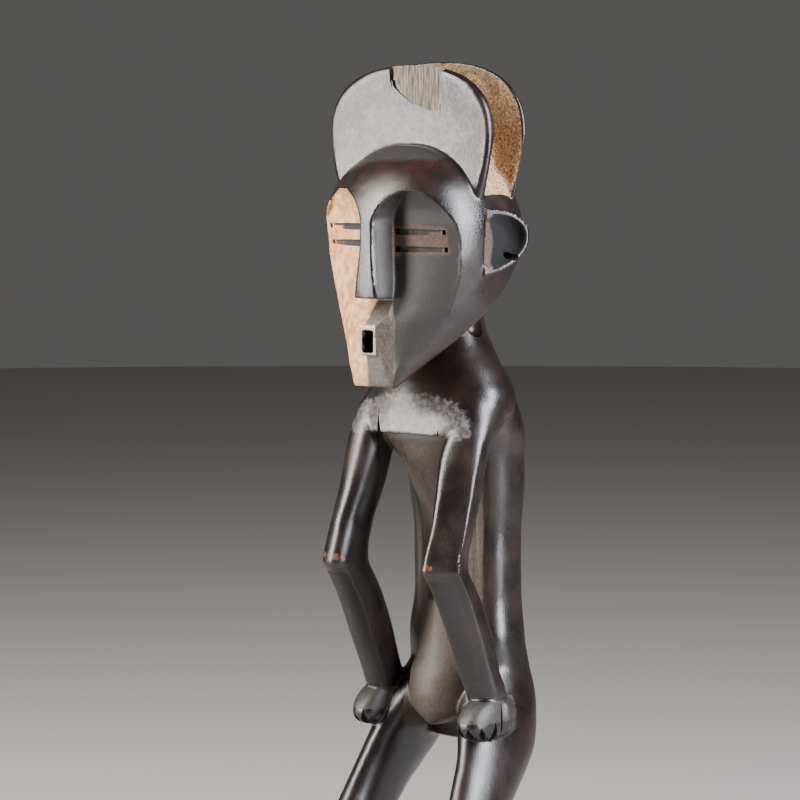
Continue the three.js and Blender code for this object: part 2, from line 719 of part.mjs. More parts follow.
/** The trunk and the neck, with its hollows. */
function body() {
  return joined(
    solid(stack(BACK_ROWS, SIDES.trunk)),
    solid(stack(CHEST_ROWS, SIDES.trunk)),
    solid(stack(BELLY_ROWS, SIDES.belly)),
  ).subtract(pair(pebbleOf(NECK_HOLLOW, SIDES.hollow))).subtract(ledgeNotches());
}

/** The low round base, with a rounded shoulder. */
function base() {
  const { radius, height, shoulderHeight, shoulderWidth, foot, footHeight, sides } = BASE;
  const turned = new THREE.EllipseCurve(
    radius - shoulderWidth, height - shoulderHeight, shoulderWidth, shoulderHeight, 0, Math.PI / 2,
  ).getPoints(BASE.shoulderSteps);
  const profile = [
    new THREE.Vector2(0, 0),
    new THREE.Vector2(radius - foot, 0),
    new THREE.Vector2(radius, footHeight),
    ...turned,
    new THREE.Vector2(0, height),
  ];
  return solid(new THREE.LatheGeometry(profile, sides).rotateX(Math.PI / 2));
}

// The part

/** A solid as a geometry for a mesh. */
function geometryOf(solidBody) {
  const mesh = solidBody.getMesh();
  const geometry = new THREE.BufferGeometry();
  geometry.setAttribute('position', new THREE.BufferAttribute(mesh.vertProperties, 3));
  geometry.setIndex(new THREE.BufferAttribute(mesh.triVerts, 1));
  geometry.computeVertexNormals();
  return geometry;
}

const wood = new THREE.MeshStandardMaterial({ color: 0x2e2624, roughness: 0.38, metalness: 0 });
const figure = new THREE.Mesh(geometryOf(joined(body(), limbs(), head(), base())), wood);
figure.name = 'figure';

const part = new THREE.Group();
part.add(figure);

export default part;
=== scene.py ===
"""Dresses the carved figure: one piece of dark polished wood, standing on its own low base.

The carving is modelled in millimetres in the part's own frame (+Z up, the face towards -Y, the
figure's left side at +X) and goes to metres once, when it is finished.
"""

from __future__ import annotations

import logging
import math
import random
from collections.abc import Callable, Iterable, Sequence
from dataclasses import dataclass, field
from enum import Enum

import bmesh
import bpy
import numpy as np
from mathutils import Matrix, Vector, noise


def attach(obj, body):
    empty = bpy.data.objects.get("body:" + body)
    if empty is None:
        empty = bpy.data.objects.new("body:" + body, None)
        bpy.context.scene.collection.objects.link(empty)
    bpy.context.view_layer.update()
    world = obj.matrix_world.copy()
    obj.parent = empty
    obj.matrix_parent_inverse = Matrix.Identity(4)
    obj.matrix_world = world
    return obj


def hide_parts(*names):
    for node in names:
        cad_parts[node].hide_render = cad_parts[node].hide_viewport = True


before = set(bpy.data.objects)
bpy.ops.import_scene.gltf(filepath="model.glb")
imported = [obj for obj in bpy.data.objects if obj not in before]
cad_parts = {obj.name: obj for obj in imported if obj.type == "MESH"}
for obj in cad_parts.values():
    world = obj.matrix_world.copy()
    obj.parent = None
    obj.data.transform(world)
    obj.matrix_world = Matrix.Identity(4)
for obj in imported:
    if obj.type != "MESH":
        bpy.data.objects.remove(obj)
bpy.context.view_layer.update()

log = logging.getLogger("figure")

METRES = 0.001


class Mark(Enum):
    """The painted marks that say where each coat of colour lies."""

    PALE = "pale_pigment"
    SHADED_MUZZLE = "muzzle_grey"
    RIM = "mouth_rim"
    SHADED_CHEEK = "dark_cheek"
    CRUST = "eye_crust"
    OCHRE = "ochre_lobe"
    BROWN_AND_PIT_LIGHT = "brown_wood"
    UMBER = "umber_brow"
    WORN = "worn_through"
    TORN = "torn_grain"
    DIRT_AND_SHADE = "crevice_dirt"
    EDGE = "rubbed_edge"
    DUST = "dusty_crease"
    HOLLOW_SHADE = "dark_hollow"
    BLOOM_AND_SHEEN = "waxy_bloom"
    DARKER_OCHRE = "stained_ochre"
    SLOT = "slot_floor"
    DULL = "dull_hand"
    PAINTED_SHADE = "sooty_wood"


# Numbers and shapes


def fade(value: np.ndarray | float, start: float, end: float) -> np.ndarray:
    """Rises smoothly from 0 at start to 1 at end.

    Args:
        value: Where to read it.
        start: The value at which it is 0.
        end: The value at which it is 1, above or below start.

    Returns:
        Numbers from 0 to 1.
    """
    share = np.clip((np.asarray(value, float) - start) / (end - start), 0, 1)
    return share * share * (3 - 2 * share)


def bump(value: np.ndarray, middle: float, reach: float) -> np.ndarray:
    """A soft hill of height 1 round middle, which ends at reach."""
    return 1 - fade(np.abs(np.asarray(value, float) - middle), 0, reach)


def within(value: np.ndarray, low: float, high: float, soft: float) -> np.ndarray:
    """1 between low and high, with edges that fade over soft outside them."""
    return fade(value, low - soft, low) * (1 - fade(value, high, high + soft))


def squared(value: float, square: float) -> float:
    """The signed power that makes a circle's sine or cosine squarer."""
    return math.copysign(abs(value) ** (2 / square), value)


def eased(rows: np.ndarray, at: np.ndarray) -> np.ndarray:
    """Reads rows between their heights along smooth curves that never overshoot.

    Args:
        rows: One row for each known height, with the height first.
        at: The heights to read.

    Returns:
        One row for each height in at.
    """
    heights = rows[:, 0]
    gaps = np.diff(heights)
    steps = np.diff(rows, axis=0) / gaps[:, None]
    slopes = np.zeros_like(rows)
    slopes[0], slopes[-1] = steps[0], steps[-1]
    before, after = steps[:-1], steps[1:]
    near = (2 * gaps[1:] + gaps[:-1])[:, None]
    far = (gaps[1:] + 2 * gaps[:-1])[:, None]
    turning = before * after <= 0
    safe_before = np.where(turning, 1, before)
    safe_after = np.where(turning, 1, after)
    slopes[1:-1] = np.where(turning, 0, (near + far) / (near / safe_before + far / safe_after))
    low = np.clip(np.searchsorted(heights, at, side="right") - 1, 0, len(gaps) - 1)
    gap = gaps[low][:, None]
    t = ((at - heights[low]) / gaps[low])[:, None]
    start = (1 + 2 * t) * (1 - t) ** 2 * rows[low] + t * (1 - t) ** 2 * gap * slopes[low]
    end = t * t * (3 - 2 * t) * rows[low + 1] + t * t * (t - 1) * gap * slopes[low + 1]
    return start + end


def heights_between(low: float, high: float, step: float) -> np.ndarray:
    """Evenly spaced heights from low to high, about step apart."""
    return np.linspace(low, high, max(2, round((high - low) / step) + 1))


@dataclass(frozen=True)
class Rings:
    """A body as level rings.

    A row holds the height, near side, far side, front, back, widest depth, square and slant: how
    far the front falls back towards the far side.
    """

    rows: np.ndarray

    @classmethod
    def on_middle(cls, rows: Iterable[Sequence[float]]) -> Rings:
        """Rings of a body on the middle line: height, half width, front, back, square."""
        return cls(np.array([(z, -h, h, f, b, (f + b) / 2, s, 0) for z, h, f, b, s in rows], float))

    @classmethod
    def on_side(cls, rows: Iterable[Sequence[float]]) -> Rings:
        """Rings of a limb on the left side: height, near, far, front, back, square and slant."""
        return cls(np.array([
            (z, near, far, front, back, (front + back) / 2, square, slant)
            for z, near, far, front, back, square, slant in rows
        ], float))

    def levels(self, step: float) -> np.ndarray:
        """The rows read about every step."""
        return eased(self.rows, heights_between(self.rows[0, 0], self.rows[-1, 0], step))


def ring_point(row: np.ndarray, turn: float) -> Vector:
    """The point of a level ring at an angle from the left side."""
    z, near, far, front, back, wide, square, slant = row
    reach = wide - front if math.sin(turn) < 0 else back - wide
    across, along = squared(math.cos(turn), square), squared(math.sin(turn), square)
    fall = slant * (1 + across) / 2 * max(0.0, -along)
    return Vector(((near + far) / 2 + (far - near) / 2 * across, wide + reach * along + fall, z))


def add_tube(
    mesh: bmesh.types.BMesh,
    levels: Sequence,
    sides: int,
    place: Callable[[object, int], Vector],
) -> None:
    """Adds a closed body by pulling a ring of points from one level to the next.

    Args:
        mesh: The mesh that gets it.
        levels: What place needs to know at each level.
        sides: The number of points round each level.
        place: Gives the point of a level with a given number.
    """
    number = mesh.verts.layers.int.get("number") or mesh.verts.layers.int.new("number")
    ring = bmesh.ops.create_circle(mesh, segments=sides, radius=1)["verts"]
    for k, vert in enumerate(ring):
        vert[number] = k
    edges = list({edge for vert in ring for edge in vert.link_edges})
    first = edges
    for i, level in enumerate(levels):
        if i:
            pulled = bmesh.ops.extrude_edge_only(mesh, edges=edges)["geom"]
            ring = [item for item in pulled if isinstance(item, bmesh.types.BMVert)]
            own = set(ring)
            edges = [
                item for item in pulled
                if isinstance(item, bmesh.types.BMEdge) and own.issuperset(item.verts)
            ]
        for vert in ring:
            vert.co = place(level, vert[number])
    bmesh.ops.edgeloop_fill(mesh, edges=first)
    bmesh.ops.edgeloop_fill(mesh, edges=edges)


def add_stack(mesh: bmesh.types.BMesh, rings: Rings, sides: int, step: float) -> None:
    """Adds a closed body through level rings, read every step."""
    add_tube(
        mesh, rings.levels(step), sides,
        lambda row, k: ring_point(row, 2 * math.pi * (k + 0.5) / sides),
    )


def add_prism(
    mesh: bmesh.types.BMesh, outline: Sequence[Sequence[float]], pull: Sequence[float]
) -> None:
    """Adds a flat outline pulled out into a closed body.

    Args:
        mesh: The mesh that gets it.
        outline: The corners, in order.
        pull: How far the outline is pulled, as a vector.
    """
    corners = [mesh.verts.new(point) for point in outline]
    face = mesh.faces.new(corners)
    pulled = bmesh.ops.extrude_face_region(mesh, geom=[face], use_keep_orig=True)["geom"]
    moved = [item for item in pulled if isinstance(item, bmesh.types.BMVert)]
    bmesh.ops.translate(mesh, verts=moved, vec=Vector(pull))


def add_block(
    mesh: bmesh.types.BMesh, low: Sequence[float], high: Sequence[float], turn: Matrix | None = None
) -> None:
    """Adds a box between two corners, which turn then places."""
    size = Vector(high) - Vector(low)
    middle = (Vector(high) + Vector(low)) / 2
    place = Matrix.Translation(middle) @ Matrix.Diagonal((*size, 1))
    bmesh.ops.create_cube(mesh, size=1, matrix=(turn or Matrix.Identity(4)) @ place)


def add_pebble(mesh: bmesh.types.BMesh, middle: Sequence[float], radii: Sequence[float]) -> None:
    """Adds an ellipsoid."""
    place = Matrix.Translation(Vector(middle)) @ Matrix.Diagonal((*radii, 1))
    bmesh.ops.create_uvsphere(mesh, u_segments=48, v_segments=24, radius=1, matrix=place)


def add_other_side(mesh: bmesh.types.BMesh) -> None:
    """Adds the mirror image of all that the mesh holds."""
    copied = bmesh.ops.duplicate(mesh, geom=mesh.verts[:] + mesh.edges[:] + mesh.faces[:])["geom"]
    verts = [item for item in copied if isinstance(item, bmesh.types.BMVert)]
    bmesh.ops.scale(mesh, verts=verts, vec=Vector((-1, 1, 1)))


def as_object(name: str, mesh: bmesh.types.BMesh) -> bpy.types.Object:
    """Turns a mesh's faces outwards and puts it into an object of its own."""
    bmesh.ops.recalc_face_normals(mesh, faces=mesh.faces)
    data = bpy.data.meshes.new(name)
    mesh.to_mesh(data)
    mesh.free()
    piece = bpy.data.objects.new(name, data)
    bpy.context.scene.collection.objects.link(piece)
    return piece


class Blank:
    """The block of wood under the tools: one mesh that is joined, cut and smoothed."""

    def __init__(self, piece: bpy.types.Object) -> None:
        """Starts from the first body."""
        self.piece = piece

    def work(self, kind: str, **settings: object) -> None:
        """Runs one modifier on the mesh and keeps its result."""
        modifier = self.piece.modifiers.new(kind.lower(), kind)
        for name, value in settings.items():
            setattr(modifier, name, value)
        shape = self.piece.evaluated_get(bpy.context.evaluated_depsgraph_get())
        worked = bpy.data.meshes.new_from_object(shape)
        self.piece.modifiers.clear()
        old = self.piece.data
        self.piece.data = worked
        bpy.data.meshes.remove(old)

    def combine(self, tool: bpy.types.Object, operation: str) -> None:
        """Joins the tool's body to the block or cuts it away, and puts the tool away."""
        self.work("BOOLEAN", object=tool, operation=operation, solver="MANIFOLD")
        data = tool.data
        bpy.data.objects.remove(tool)
        bpy.data.meshes.remove(data)

    def join(self, tool: bpy.types.Object) -> None:
        """Adds a body to the block."""
        self.combine(tool, "UNION")

    def cut(self, tool: bpy.types.Object) -> None:
        """Cuts a body away from the block."""
        self.combine(tool, "DIFFERENCE")

    def points(self) -> np.ndarray:
        """Where the mesh's points are, one row each."""
        count = len(self.piece.data.vertices)
        flat = np.empty(count * 3, np.float32)
        self.piece.data.vertices.foreach_get("co", flat)
        return flat.reshape(-1, 3).astype(float)

    def normals(self) -> np.ndarray:
        """Which way the mesh faces at each point, one row each."""
        count = len(self.piece.data.vertices)
        flat = np.empty(count * 3, np.float32)
        self.piece.data.vertex_normals.foreach_get("vector", flat)
        return flat.reshape(-1, 3).astype(float)

    def move_to(self, points: np.ndarray) -> None:
        """Puts the mesh's points in new places."""
        self.piece.data.vertices.foreach_set("co", points.astype(np.float32).ravel())
        self.piece.data.update()

    def smooth(self, share: np.ndarray, times: int) -> None:
        """Rubs the surface smooth, more where share is nearer 1."""
        soft = self.piece.vertex_groups.new(name="soft")
        steps = 16
        level = np.clip(np.round(share * steps), 0, steps).astype(int)
        for k in range(1, steps + 1):
            soft.add(np.nonzero(level == k)[0].tolist(), k / steps, "REPLACE")
        self.work("SMOOTH", factor=0.5, iterations=times, vertex_group="soft")
        self.piece.vertex_groups.clear()


def roughness_at(points: np.ndarray, where: np.ndarray, size: float, seed: float) -> np.ndarray:
    """Smooth noise from -1 to 1 over features of one size, worked out only where it is wanted.

    Args:
        points: The points, one row each.
        where: True for each point that needs a value.
        size: How wide the features are, in the points' unit.
        seed: Moves the pattern.

    Returns:
        One number for each point, 0 where it isn't wanted.
    """
    values = np.zeros(len(points))
    chosen = np.nonzero(where)[0]
    offset = Vector((seed, seed * 0.7, -seed))
    places = points[chosen] / size
    values[chosen] = [noise.noise(Vector(place) + offset) for place in places]
    return values


# The figure's sub-assemblies


@dataclass
class Trunk:
    """The long body: the slab of the back, the chest with its ledge, and the belly."""

    back: Rings = field(default_factory=lambda: Rings.on_middle((
        (236, 34, 16, 58, 2.4), (262, 50, 8, 77, 2.4), (290, 51, 6, 74, 2.6),
        (320, 50, 4, 66, 2.8), (355, 46, 9, 63, 3.0), (400, 46, 9, 62, 3.1),
        (440, 50, 6, 61.5, 3.1), (468, 52, 0, 61, 3.0), (490, 57, -9, 59, 2.6),
        (511, 58, -20, 50, 2.4), (530, 52, -22, 44, 2.3), (552, 40, -18, 40, 2.2),
        (576, 29, -14, 37, 2.1), (604, 26, -10, 34, 2.0), (636, 24, -6, 30, 2.0),
    )))
    chest: Rings = field(default_factory=lambda: Rings.on_middle((
        (488, 42, -42.5, 4, 5.0), (495, 58, -41.5, 20, 3.8), (505, 66, -39, 32, 3.0),
        (518, 66, -34, 38, 2.6), (536, 56, -27, 36, 2.4), (556, 39, -19, 32, 2.2),
        (580, 24, -10, 24, 2.0),
    )))
    belly: Rings = field(default_factory=lambda: Rings.on_middle((
        (251, 5, -12, 12, 1.6), (256, 18, -15, 26, 1.8), (264, 29, -18, 40, 2.0),
        (276, 34, -20, 50, 2.0), (290, 34, -18, 50, 2.0), (306, 31, -12, 46, 1.9),
        (326, 30, -7, 42, 1.7), (360, 30, -4, 40, 1.6), (400, 30, -4, 40, 1.6),
        (425, 30, -9, 40, 1.6), (445, 31, -19, 42, 1.85), (458, 33, -25, 43, 2.1),
        (468, 36, -29, 44, 2.5), (478, 41, -32, 44, 3.2), (486, 46, -34, 44, 4.2),
        (500, 48, -34, 44, 4.2),
    )))
    hollow: tuple[float, ...] = (31, 7, 573.5)
    hollow_radii: tuple[float, ...] = (10, 9.5, 10.5)
    slit: tuple[tuple[float, ...], ...] = (
        (430, 33, 8), (418, 33, 8), (372, 36.3, 9), (322, 44, 4.5), (310, 45, 4),
    )
    # How far the slit's cutter stands out of the flank, its depth, and half its width.
    slit_mouth: float = 7
    slit_depth: float = 7
    slit_half: float = 2
    slit_end_half: float = 0.2
    # The knife cuts in the ledge: the X, height, half width and lean of each.
    notches: tuple[tuple[float, ...], ...] = ((-28, 20, 2.2, -0.2), (31, 10, 1.3, 0.05))
    notch_front: float = -47
    notch_low: float = 484
    notch_depth: float = 13

    def bodies(self) -> list[bpy.types.Object]:
        """The bodies that make up the trunk."""
        made = []
        for rings in (self.back, self.chest, self.belly):
            mesh = bmesh.new()
            add_stack(mesh, rings, 112, 3)
            made.append(as_object("trunk_body", mesh))
        return made

    def neck_hollow(self) -> bpy.types.Object:
        """The hollow on each side where the neck meets the jaw."""
        mesh = bmesh.new()
        add_pebble(mesh, self.hollow, self.hollow_radii)
        add_other_side(mesh)
        return as_object("neck_hollow", mesh)

    def ledge_notches(self) -> bpy.types.Object:
        """The knife cuts at both ends of the ledge under the chest."""
        mesh = bmesh.new()
        for x, height, half, lean in self.notches:
            foot = Matrix.Translation((x, self.notch_front, self.notch_low))
            turn = foot @ Matrix.Rotation(lean, 4, "Y")
            outline = [(-half, 0, 0), (half, 0, 0), (half * 0.5, 0, height * 0.6), (0, 0, height)]
            add_prism(mesh, [turn @ Vector(point) for point in outline], (0, self.notch_depth, 0))
        return as_object("ledge_notches", mesh)

    def flank_slits(self) -> bpy.types.Object:
        """The narrow slit on each side where the flank meets the slab of the back."""
        mesh = bmesh.new()
        out, along = Vector((0.9, -0.44, 0)), Vector((0.44, 0.9, 0))
        last = len(self.slit) - 1

        def place(level: tuple[int, tuple[float, ...]], k: int) -> Vector:
            """The point of the slit's cutter with a given number."""
            i, (z, x, y) = level
            wide, deep = (self.slit_end_half, 0) if i in (0, last) else (self.slit_half, self.slit_depth)
            mouth = out * self.slit_mouth
            return Vector((x, y, z)) + (mouth + along * wide, mouth - along * wide, -out * deep)[k]

        add_tube(mesh, list(enumerate(self.slit)), 3, place)
        add_other_side(mesh)
        return as_object("flank_slits", mesh)


@dataclass
class Arms:
    """The bent arms and the hands laid on the thighs."""

    arm: Rings = field(default_factory=lambda: Rings.on_side((
        (268, 43, 64, -17, 12, 2.5, 4), (283, 39.1, 66.4, -25.4, 10.9, 2.3, 8),
        (298, 38.1, 65.9, -32.9, 4.4, 2.3, 12), (323, 38.6, 65.4, -45.9, -2.6, 2.3, 16),
        (355, 38.4, 65.1, -61.9, -16.6, 2.3, 20), (373, 38.4, 65.1, -72.9, -27.6, 2.3, 23),
        (385, 37.9, 65.1, -80.4, -34.6, 2.4, 25), (391, 37.9, 65.1, -78.9, -34.6, 2.4, 25),
        (414, 38.4, 65.1, -70.9, -28.1, 2.3, 22), (440, 35.4, 64.6, -61.4, -18.1, 2.3, 18),
        (475, 32, 65.6, -49.9, -7.6, 2.3, 12), (500, 33.5, 66.5, -38.5, 12, 2.3, 8),
        (518, 34, 62, -28, 20, 2.3, 4), (534, 30, 48, -14, 16, 2.2, 2),
    )))
    # How much of the front's slant the right arm has.
    right_slant: float = 0.15
    hand: Rings = field(default_factory=lambda: Rings.on_side((
        (245.5, 49, 60, -17, 4, 2, 0), (247.5, 44, 64.5, -29, 13, 2.2, 0),
        (251, 41, 67.5, -35, 19, 2.5, 0), (257, 39.5, 69, -37.5, 22, 2.7, 0),
        (263, 39.5, 69, -36.5, 22, 2.7, 0), (269, 40.5, 68.5, -32, 20, 2.7, 0),
        (274.5, 42.5, 67, -25.5, 15, 2.7, 0), (278, 45, 64.5, -19, 9, 2.7, 0),
    )))
    hand_middle: tuple[float, float] = (54, -8)
    thumb: tuple[float, float, float] = (67.0, 0.5, 263)
    thumb_radii: tuple[float, float, float] = (3.9, 5.4, 12.5)
    fingers: tuple[tuple[float, float], ...] = ((50, -36), (58.6, -34.5), (65, -27), (68.8, -14.5))
    finger_half: float = 5.7
    finger_reach: float = 12
    finger_height: float = 17
    # Just below the hands, though the last cut's inner end still marks the thigh a little.
    finger_low: float = 244
    # How far the grooves beside the thumb reach in and out from its edge, and half their mouth.
    groove_in: float = -1.2
    groove_out: float = 5
    groove_half: float = 1.5

    def bodies(self) -> list[bpy.types.Object]:
        """Both arms, then both hands, then both thumbs."""
        made = []
        for side, share in ((1, 1.0), (-1, self.right_slant)):
            mesh = bmesh.new()
            add_stack(mesh, Rings(self.arm.rows * (1, 1, 1, 1, 1, 1, 1, share)), 88, 2.5)
            bmesh.ops.scale(mesh, verts=mesh.verts, vec=Vector((side, 1, 1)))
            made.append(as_object("arm_body", mesh))
        mesh = bmesh.new()
        add_stack(mesh, self.hand, 96, 2.5)
        add_other_side(mesh)
        made.append(as_object("hand_body", mesh))
        mesh = bmesh.new()
        add_pebble(mesh, self.thumb, self.thumb_radii)
        add_other_side(mesh)
        made.append(as_object("thumb_body", mesh))
        return made

    def finger_angle(self, x: float, y: float) -> float:
        """Which way a cut at a place in X and Y runs: straight out from the hand's middle."""
        return math.atan2(y - self.hand_middle[1], x - self.hand_middle[0])

    def finger_cuts(self) -> bpy.types.Object:
        """The V cuts that part the fingers, wide below and pointed above."""
        mesh = bmesh.new()
        for x, y in self.fingers:
            angle = self.finger_angle(x, y)
            place = (
                Matrix.Translation((x, y, self.finger_low + self.finger_height / 2))
                @ Matrix.Rotation(angle, 4, "Z")
                @ Matrix.Diagonal((self.finger_reach, self.finger_half, 1, 1))
            )
            bmesh.ops.create_cone(
                mesh, cap_ends=True, segments=4, radius1=1, radius2=0.02,
                depth=self.finger_height, matrix=place,
            )
        add_other_side(mesh)
        return as_object("finger_cuts", mesh)

    def in_finger_cuts(self, points: np.ndarray) -> np.ndarray:
        """Finds the walls of the V cuts between the fingers.

        Args:
            points: The carving's points, one row each.

        Returns:
            1 in a cut and 0 outside them all, for each point.
        """
        edge = 0.04
        left = 1 - (points[:, 2] - self.finger_low) / self.finger_height
        found = np.zeros(len(points))
        for x, y in self.fingers:
            angle = self.finger_angle(x, y)
            out, back = np.abs(points[:, 0]) - x, points[:, 1] - y
            along = np.abs(out * math.cos(angle) + back * math.sin(angle)) / self.finger_reach
            across = np.abs(back * math.cos(angle) - out * math.sin(angle)) / self.finger_half
            found = np.maximum(found, (along + across < left + edge) * (left < 1))
        return found

    def thumb_grooves(self) -> bpy.types.Object:
        """The grooves that set the thumb off from the hand, one before it and one behind."""
        mesh = bmesh.new()
        x, y, z = self.thumb
        for side in (-1, 1):
            turn = (
                Matrix.Translation((x + 0.4, y + side * (self.thumb_radii[1] + 0.8), z))
                @ Matrix.Rotation(0.5 * side, 4, "Z")
            )
            low = -self.thumb_radii[2]
            corners = (
                (self.groove_in, 0, low), (self.groove_out, -self.groove_half, low),
                (self.groove_out, self.groove_half, low),
            )
            add_prism(mesh, [turn @ Vector(point) for point in corners], (0, 0, -1.9 * low))
        add_other_side(mesh)
        return as_object("thumb_grooves", mesh)


@dataclass
class Legs:
    """The bent legs, the feet and the low round base, all one with the figure."""

    leg: Rings = field(default_factory=lambda: Rings.on_side((
        (22, 38, 60, -24, 18, 2.4, 0), (48, 38.5, 60, -23, 15, 2.3, 0), (66, 39.5, 64, -36, 11, 2.2, 0),
        (88, 40.5, 69, -56, 6, 2.2, 0), (112, 41, 72, -74, -8, 2.2, 0), (132, 41.5, 73, -82, -20, 2.3, 0),
        (146, 41.5, 73, -80, -19, 2.3, 0), (168, 40, 72.5, -68, -2, 2.2, 0),
        (190, 38.5, 71.5, -54, 17, 2.1, 0), (212, 35, 69, -42, 39.5, 2.1, 0),
        (233, 30, 66, -31, 57.5, 2.1, 0), (253, 22, 62.5, -22, 65, 2.1, 0), (275, 12, 57, -8, 70, 2.2, 0),
        (300, 8, 48, 10, 66, 2.2, 0), (312, 16, 38, 26, 54, 2.2, 0),
    )))
    foot: Rings = field(default_factory=lambda: Rings.on_side((
        (22, 33, 64, -70, 24, 2.6, 0), (33, 33.5, 63.5, -70, 24, 2.6, 0), (40, 35, 62, -65, 22, 2.4, 0),
        (48, 37, 60.5, -49, 19, 2.3, 0), (60, 40, 58, -30, 12, 2.2, 0),
    )))
    base: Rings = field(default_factory=lambda: Rings.on_middle((
        (0, 89, -89, 89, 2), (2, 91.2, -91.2, 91.2, 2), (5, 92, -92, 92, 2),
        (19, 92, -92, 92, 2), (24, 88, -88, 88, 2), (26, 74.5, -74.5, 74.5, 2),
    )))
    toes: int = 4
    toe_from: float = 38.5
    toe_to: float = 58.5
    # The grooves between the toes: half their width, their front, lower and upper end, and depth.
    toe_half: float = 1.8
    toe_front: float = -84
    toe_low: float = 28.5
    toe_high: float = 70
    toe_depth: float = 30

    def bodies(self) -> list[bpy.types.Object]:
        """Both legs, then both feet, then the base."""
        made = []
        for rings in (self.leg, self.foot):
            mesh = bmesh.new()
            add_stack(mesh, rings, 96, 2.5)
            add_other_side(mesh)
            made.append(as_object("limb_body", mesh))
        mesh = bmesh.new()
        add_stack(mesh, self.base, 160, 1.5)
        made.append(as_object("base_body", mesh))
        return made

    def toe_cuts(self) -> bpy.types.Object:
        """The grooves between the toes."""
        mesh = bmesh.new()
        for k in range(self.toes):
            x = self.toe_from + (self.toe_to - self.toe_from) * k / (self.toes - 1)
            corners = ((x - self.toe_half, self.toe_high), (x + self.toe_half, self.toe_high),
                       (x, self.toe_low))
            add_prism(mesh, [(at, self.toe_front, z) for at, z in corners], (0, self.toe_depth, 0))
        add_other_side(mesh)
        return as_object("toe_cuts", mesh)


@dataclass
class Crest:
    """The two upright lobes on top of the head, the floor between them and the torn chip."""

    half: float = 81.5
    rear_half: float = 83
    waist: float = 724
    top: float = 778
    rear_top: float = 781
    square: float = 2.4
    foot_half: float = 66
    foot: float = 660
    front_face: float = -41
    front_back: float = -33
    rear_face: float = 1
    rear_back: float = 4.5
    rear_swell: float = 8.5
    # How far the front lobe's arrises are rounded, before and behind, and those of the rest.
    front_round: tuple[float, float] = (4.4, 1.2)
    rear_round: tuple[float, float] = (0.9, 0.9)
    floor_half: float = 50
    floor_top: float = 742
    floor_foot_half: float = 64
    dish: float = 4
    # The chip's lower edge, from the right side to the left, then its left end, in X and Z.
    chip_edge: tuple[tuple[float, float], ...] = (
        (-19, 776), (-16, 762), (-10.4, 756.5), (3, 747.5), (29.2, 739), (33, 756), (36, 790),
    )
    chip_floor: float = -37.0
    chip_slope: float = 0.01
    chip_strips: int = 26
    # A height above the lobes, where the chip's cutters end.
    chip_above: float = 790
    # The painted sheen on the front lobe, a pale wax bloom that is brightest where the key light's
    # reflection falls: its middle and how far it reaches, in X and Z.
    sheen_middle: tuple[float, float] = (8, 733)
    sheen_reach: tuple[float, float] = (78, 32)

    def outline(self, half: float, top: float, foot_half: float) -> list[tuple[float, float]]:
        """A lobe's outline in X and Z, from its foot on one side over the top to the other.

        Args:
            half: Half the width at the waist.
            top: The height of the top.
            foot_half: Half the width of the foot.

        Returns:
            The corners, in order.
        """
        steps = 72
        upper = []
        for i in range(steps + 1):
            angle = math.pi * i / steps
            upper.append((
                half * squared(math.cos(angle), self.square),
                self.waist + (top - self.waist) * squared(math.sin(angle), self.square),
            ))
        side = [(half + (foot_half - half) * t**1.6, self.waist + (self.foot - self.waist) * t)
                for t in np.linspace(0, 1, 13)[1:]]
        return side[::-1] + upper + [(-x, z) for x, z in side]

    def bodies(self) -> list[bpy.types.Object]:
        """The front lobe, the rear lobe and the floor between them."""
        shapes = (
            (self.outline(self.half, self.top, self.foot_half),
             self.front_face, self.front_back, self.front_round),
            (self.outline(self.rear_half, self.rear_top, self.foot_half),
             self.rear_face, self.rear_back, self.rear_round),
            (self.outline(self.floor_half, self.floor_top, self.floor_foot_half),
             self.front_face + 2, self.rear_back - 1, self.rear_round),
        )
        made = []
        for outline, near, far, rounding in shapes:
            mesh = bmesh.new()
            add_prism(mesh, [(x, near, z) for x, z in outline], (0, far - near, 0))
            for y, offset in zip((near, far), rounding):
                arrises = [edge for edge in mesh.edges
                           if all(abs(vert.co.y - y) < 0.1 for vert in edge.verts)]
                bmesh.ops.bevel(
                    mesh, geom=arrises, offset=offset, segments=4, profile=0.5, affect="EDGES",
                    material=-1,
                )
            made.append(as_object("lobe_body", mesh))
        return made

    def outline_share(self, points: np.ndarray, half: float, top: float) -> np.ndarray:
        """How near each point is to a lobe's outline: 0 in the middle and 1 on it."""
        drop = np.clip((self.waist - points[:, 2]) / (self.waist - self.foot), 0, 1)
        reach = half + (self.foot_half - half) * drop**1.6
        rise = np.clip((points[:, 2] - self.waist) / (top - self.waist), 0, None)
        return ((np.abs(points[:, 0]) / reach) ** self.square + rise**self.square) ** (1 / self.square)

    def radius_share(self, points: np.ndarray, half: float) -> np.ndarray:
        """How far each point is from a lobe's middle, as a share of the lobe's reach."""
        return np.hypot(points[:, 0] / half, (points[:, 2] - self.waist + 4) / (self.top - self.waist + 4))

    def shape_lobes(self, points: np.ndarray, normals: np.ndarray) -> None:
        """Hollows the faces that look forwards and swells the ones that look back.

        Args:
            points: The carving's points, moved in place.
            normals: Which way it faces at each point.
        """
        above = fade(points[:, 2], 655, 690)
        front = above * bump(points[:, 1], self.front_face, 4) ** 0.5 * fade(-normals[:, 1], 0.2, 0.8)
        front_share = np.clip(1 - self.radius_share(points, self.half) ** 2, 0, 1)
        middle = (self.front_back + self.rear_face) / 2
        back = above * fade(normals[:, 1], 0.2, 0.8) * within(points[:, 1], self.front_back, middle, 2)
        rear = above * fade(-normals[:, 1], 0.2, 0.8) * within(points[:, 1], middle, self.rear_face, 2)
        rear_share = np.clip(1 - self.radius_share(points, self.rear_half) ** 2, 0, 1)
        behind = above * fade(normals[:, 1], 0.2, 0.8) * within(points[:, 1], self.rear_back, 30, 2)
        points[:, 1] += self.dish * front * front_share + 1.5 * back * front_share
        points[:, 1] += 1.2 * rear * rear_share + self.rear_swell * behind * rear_share

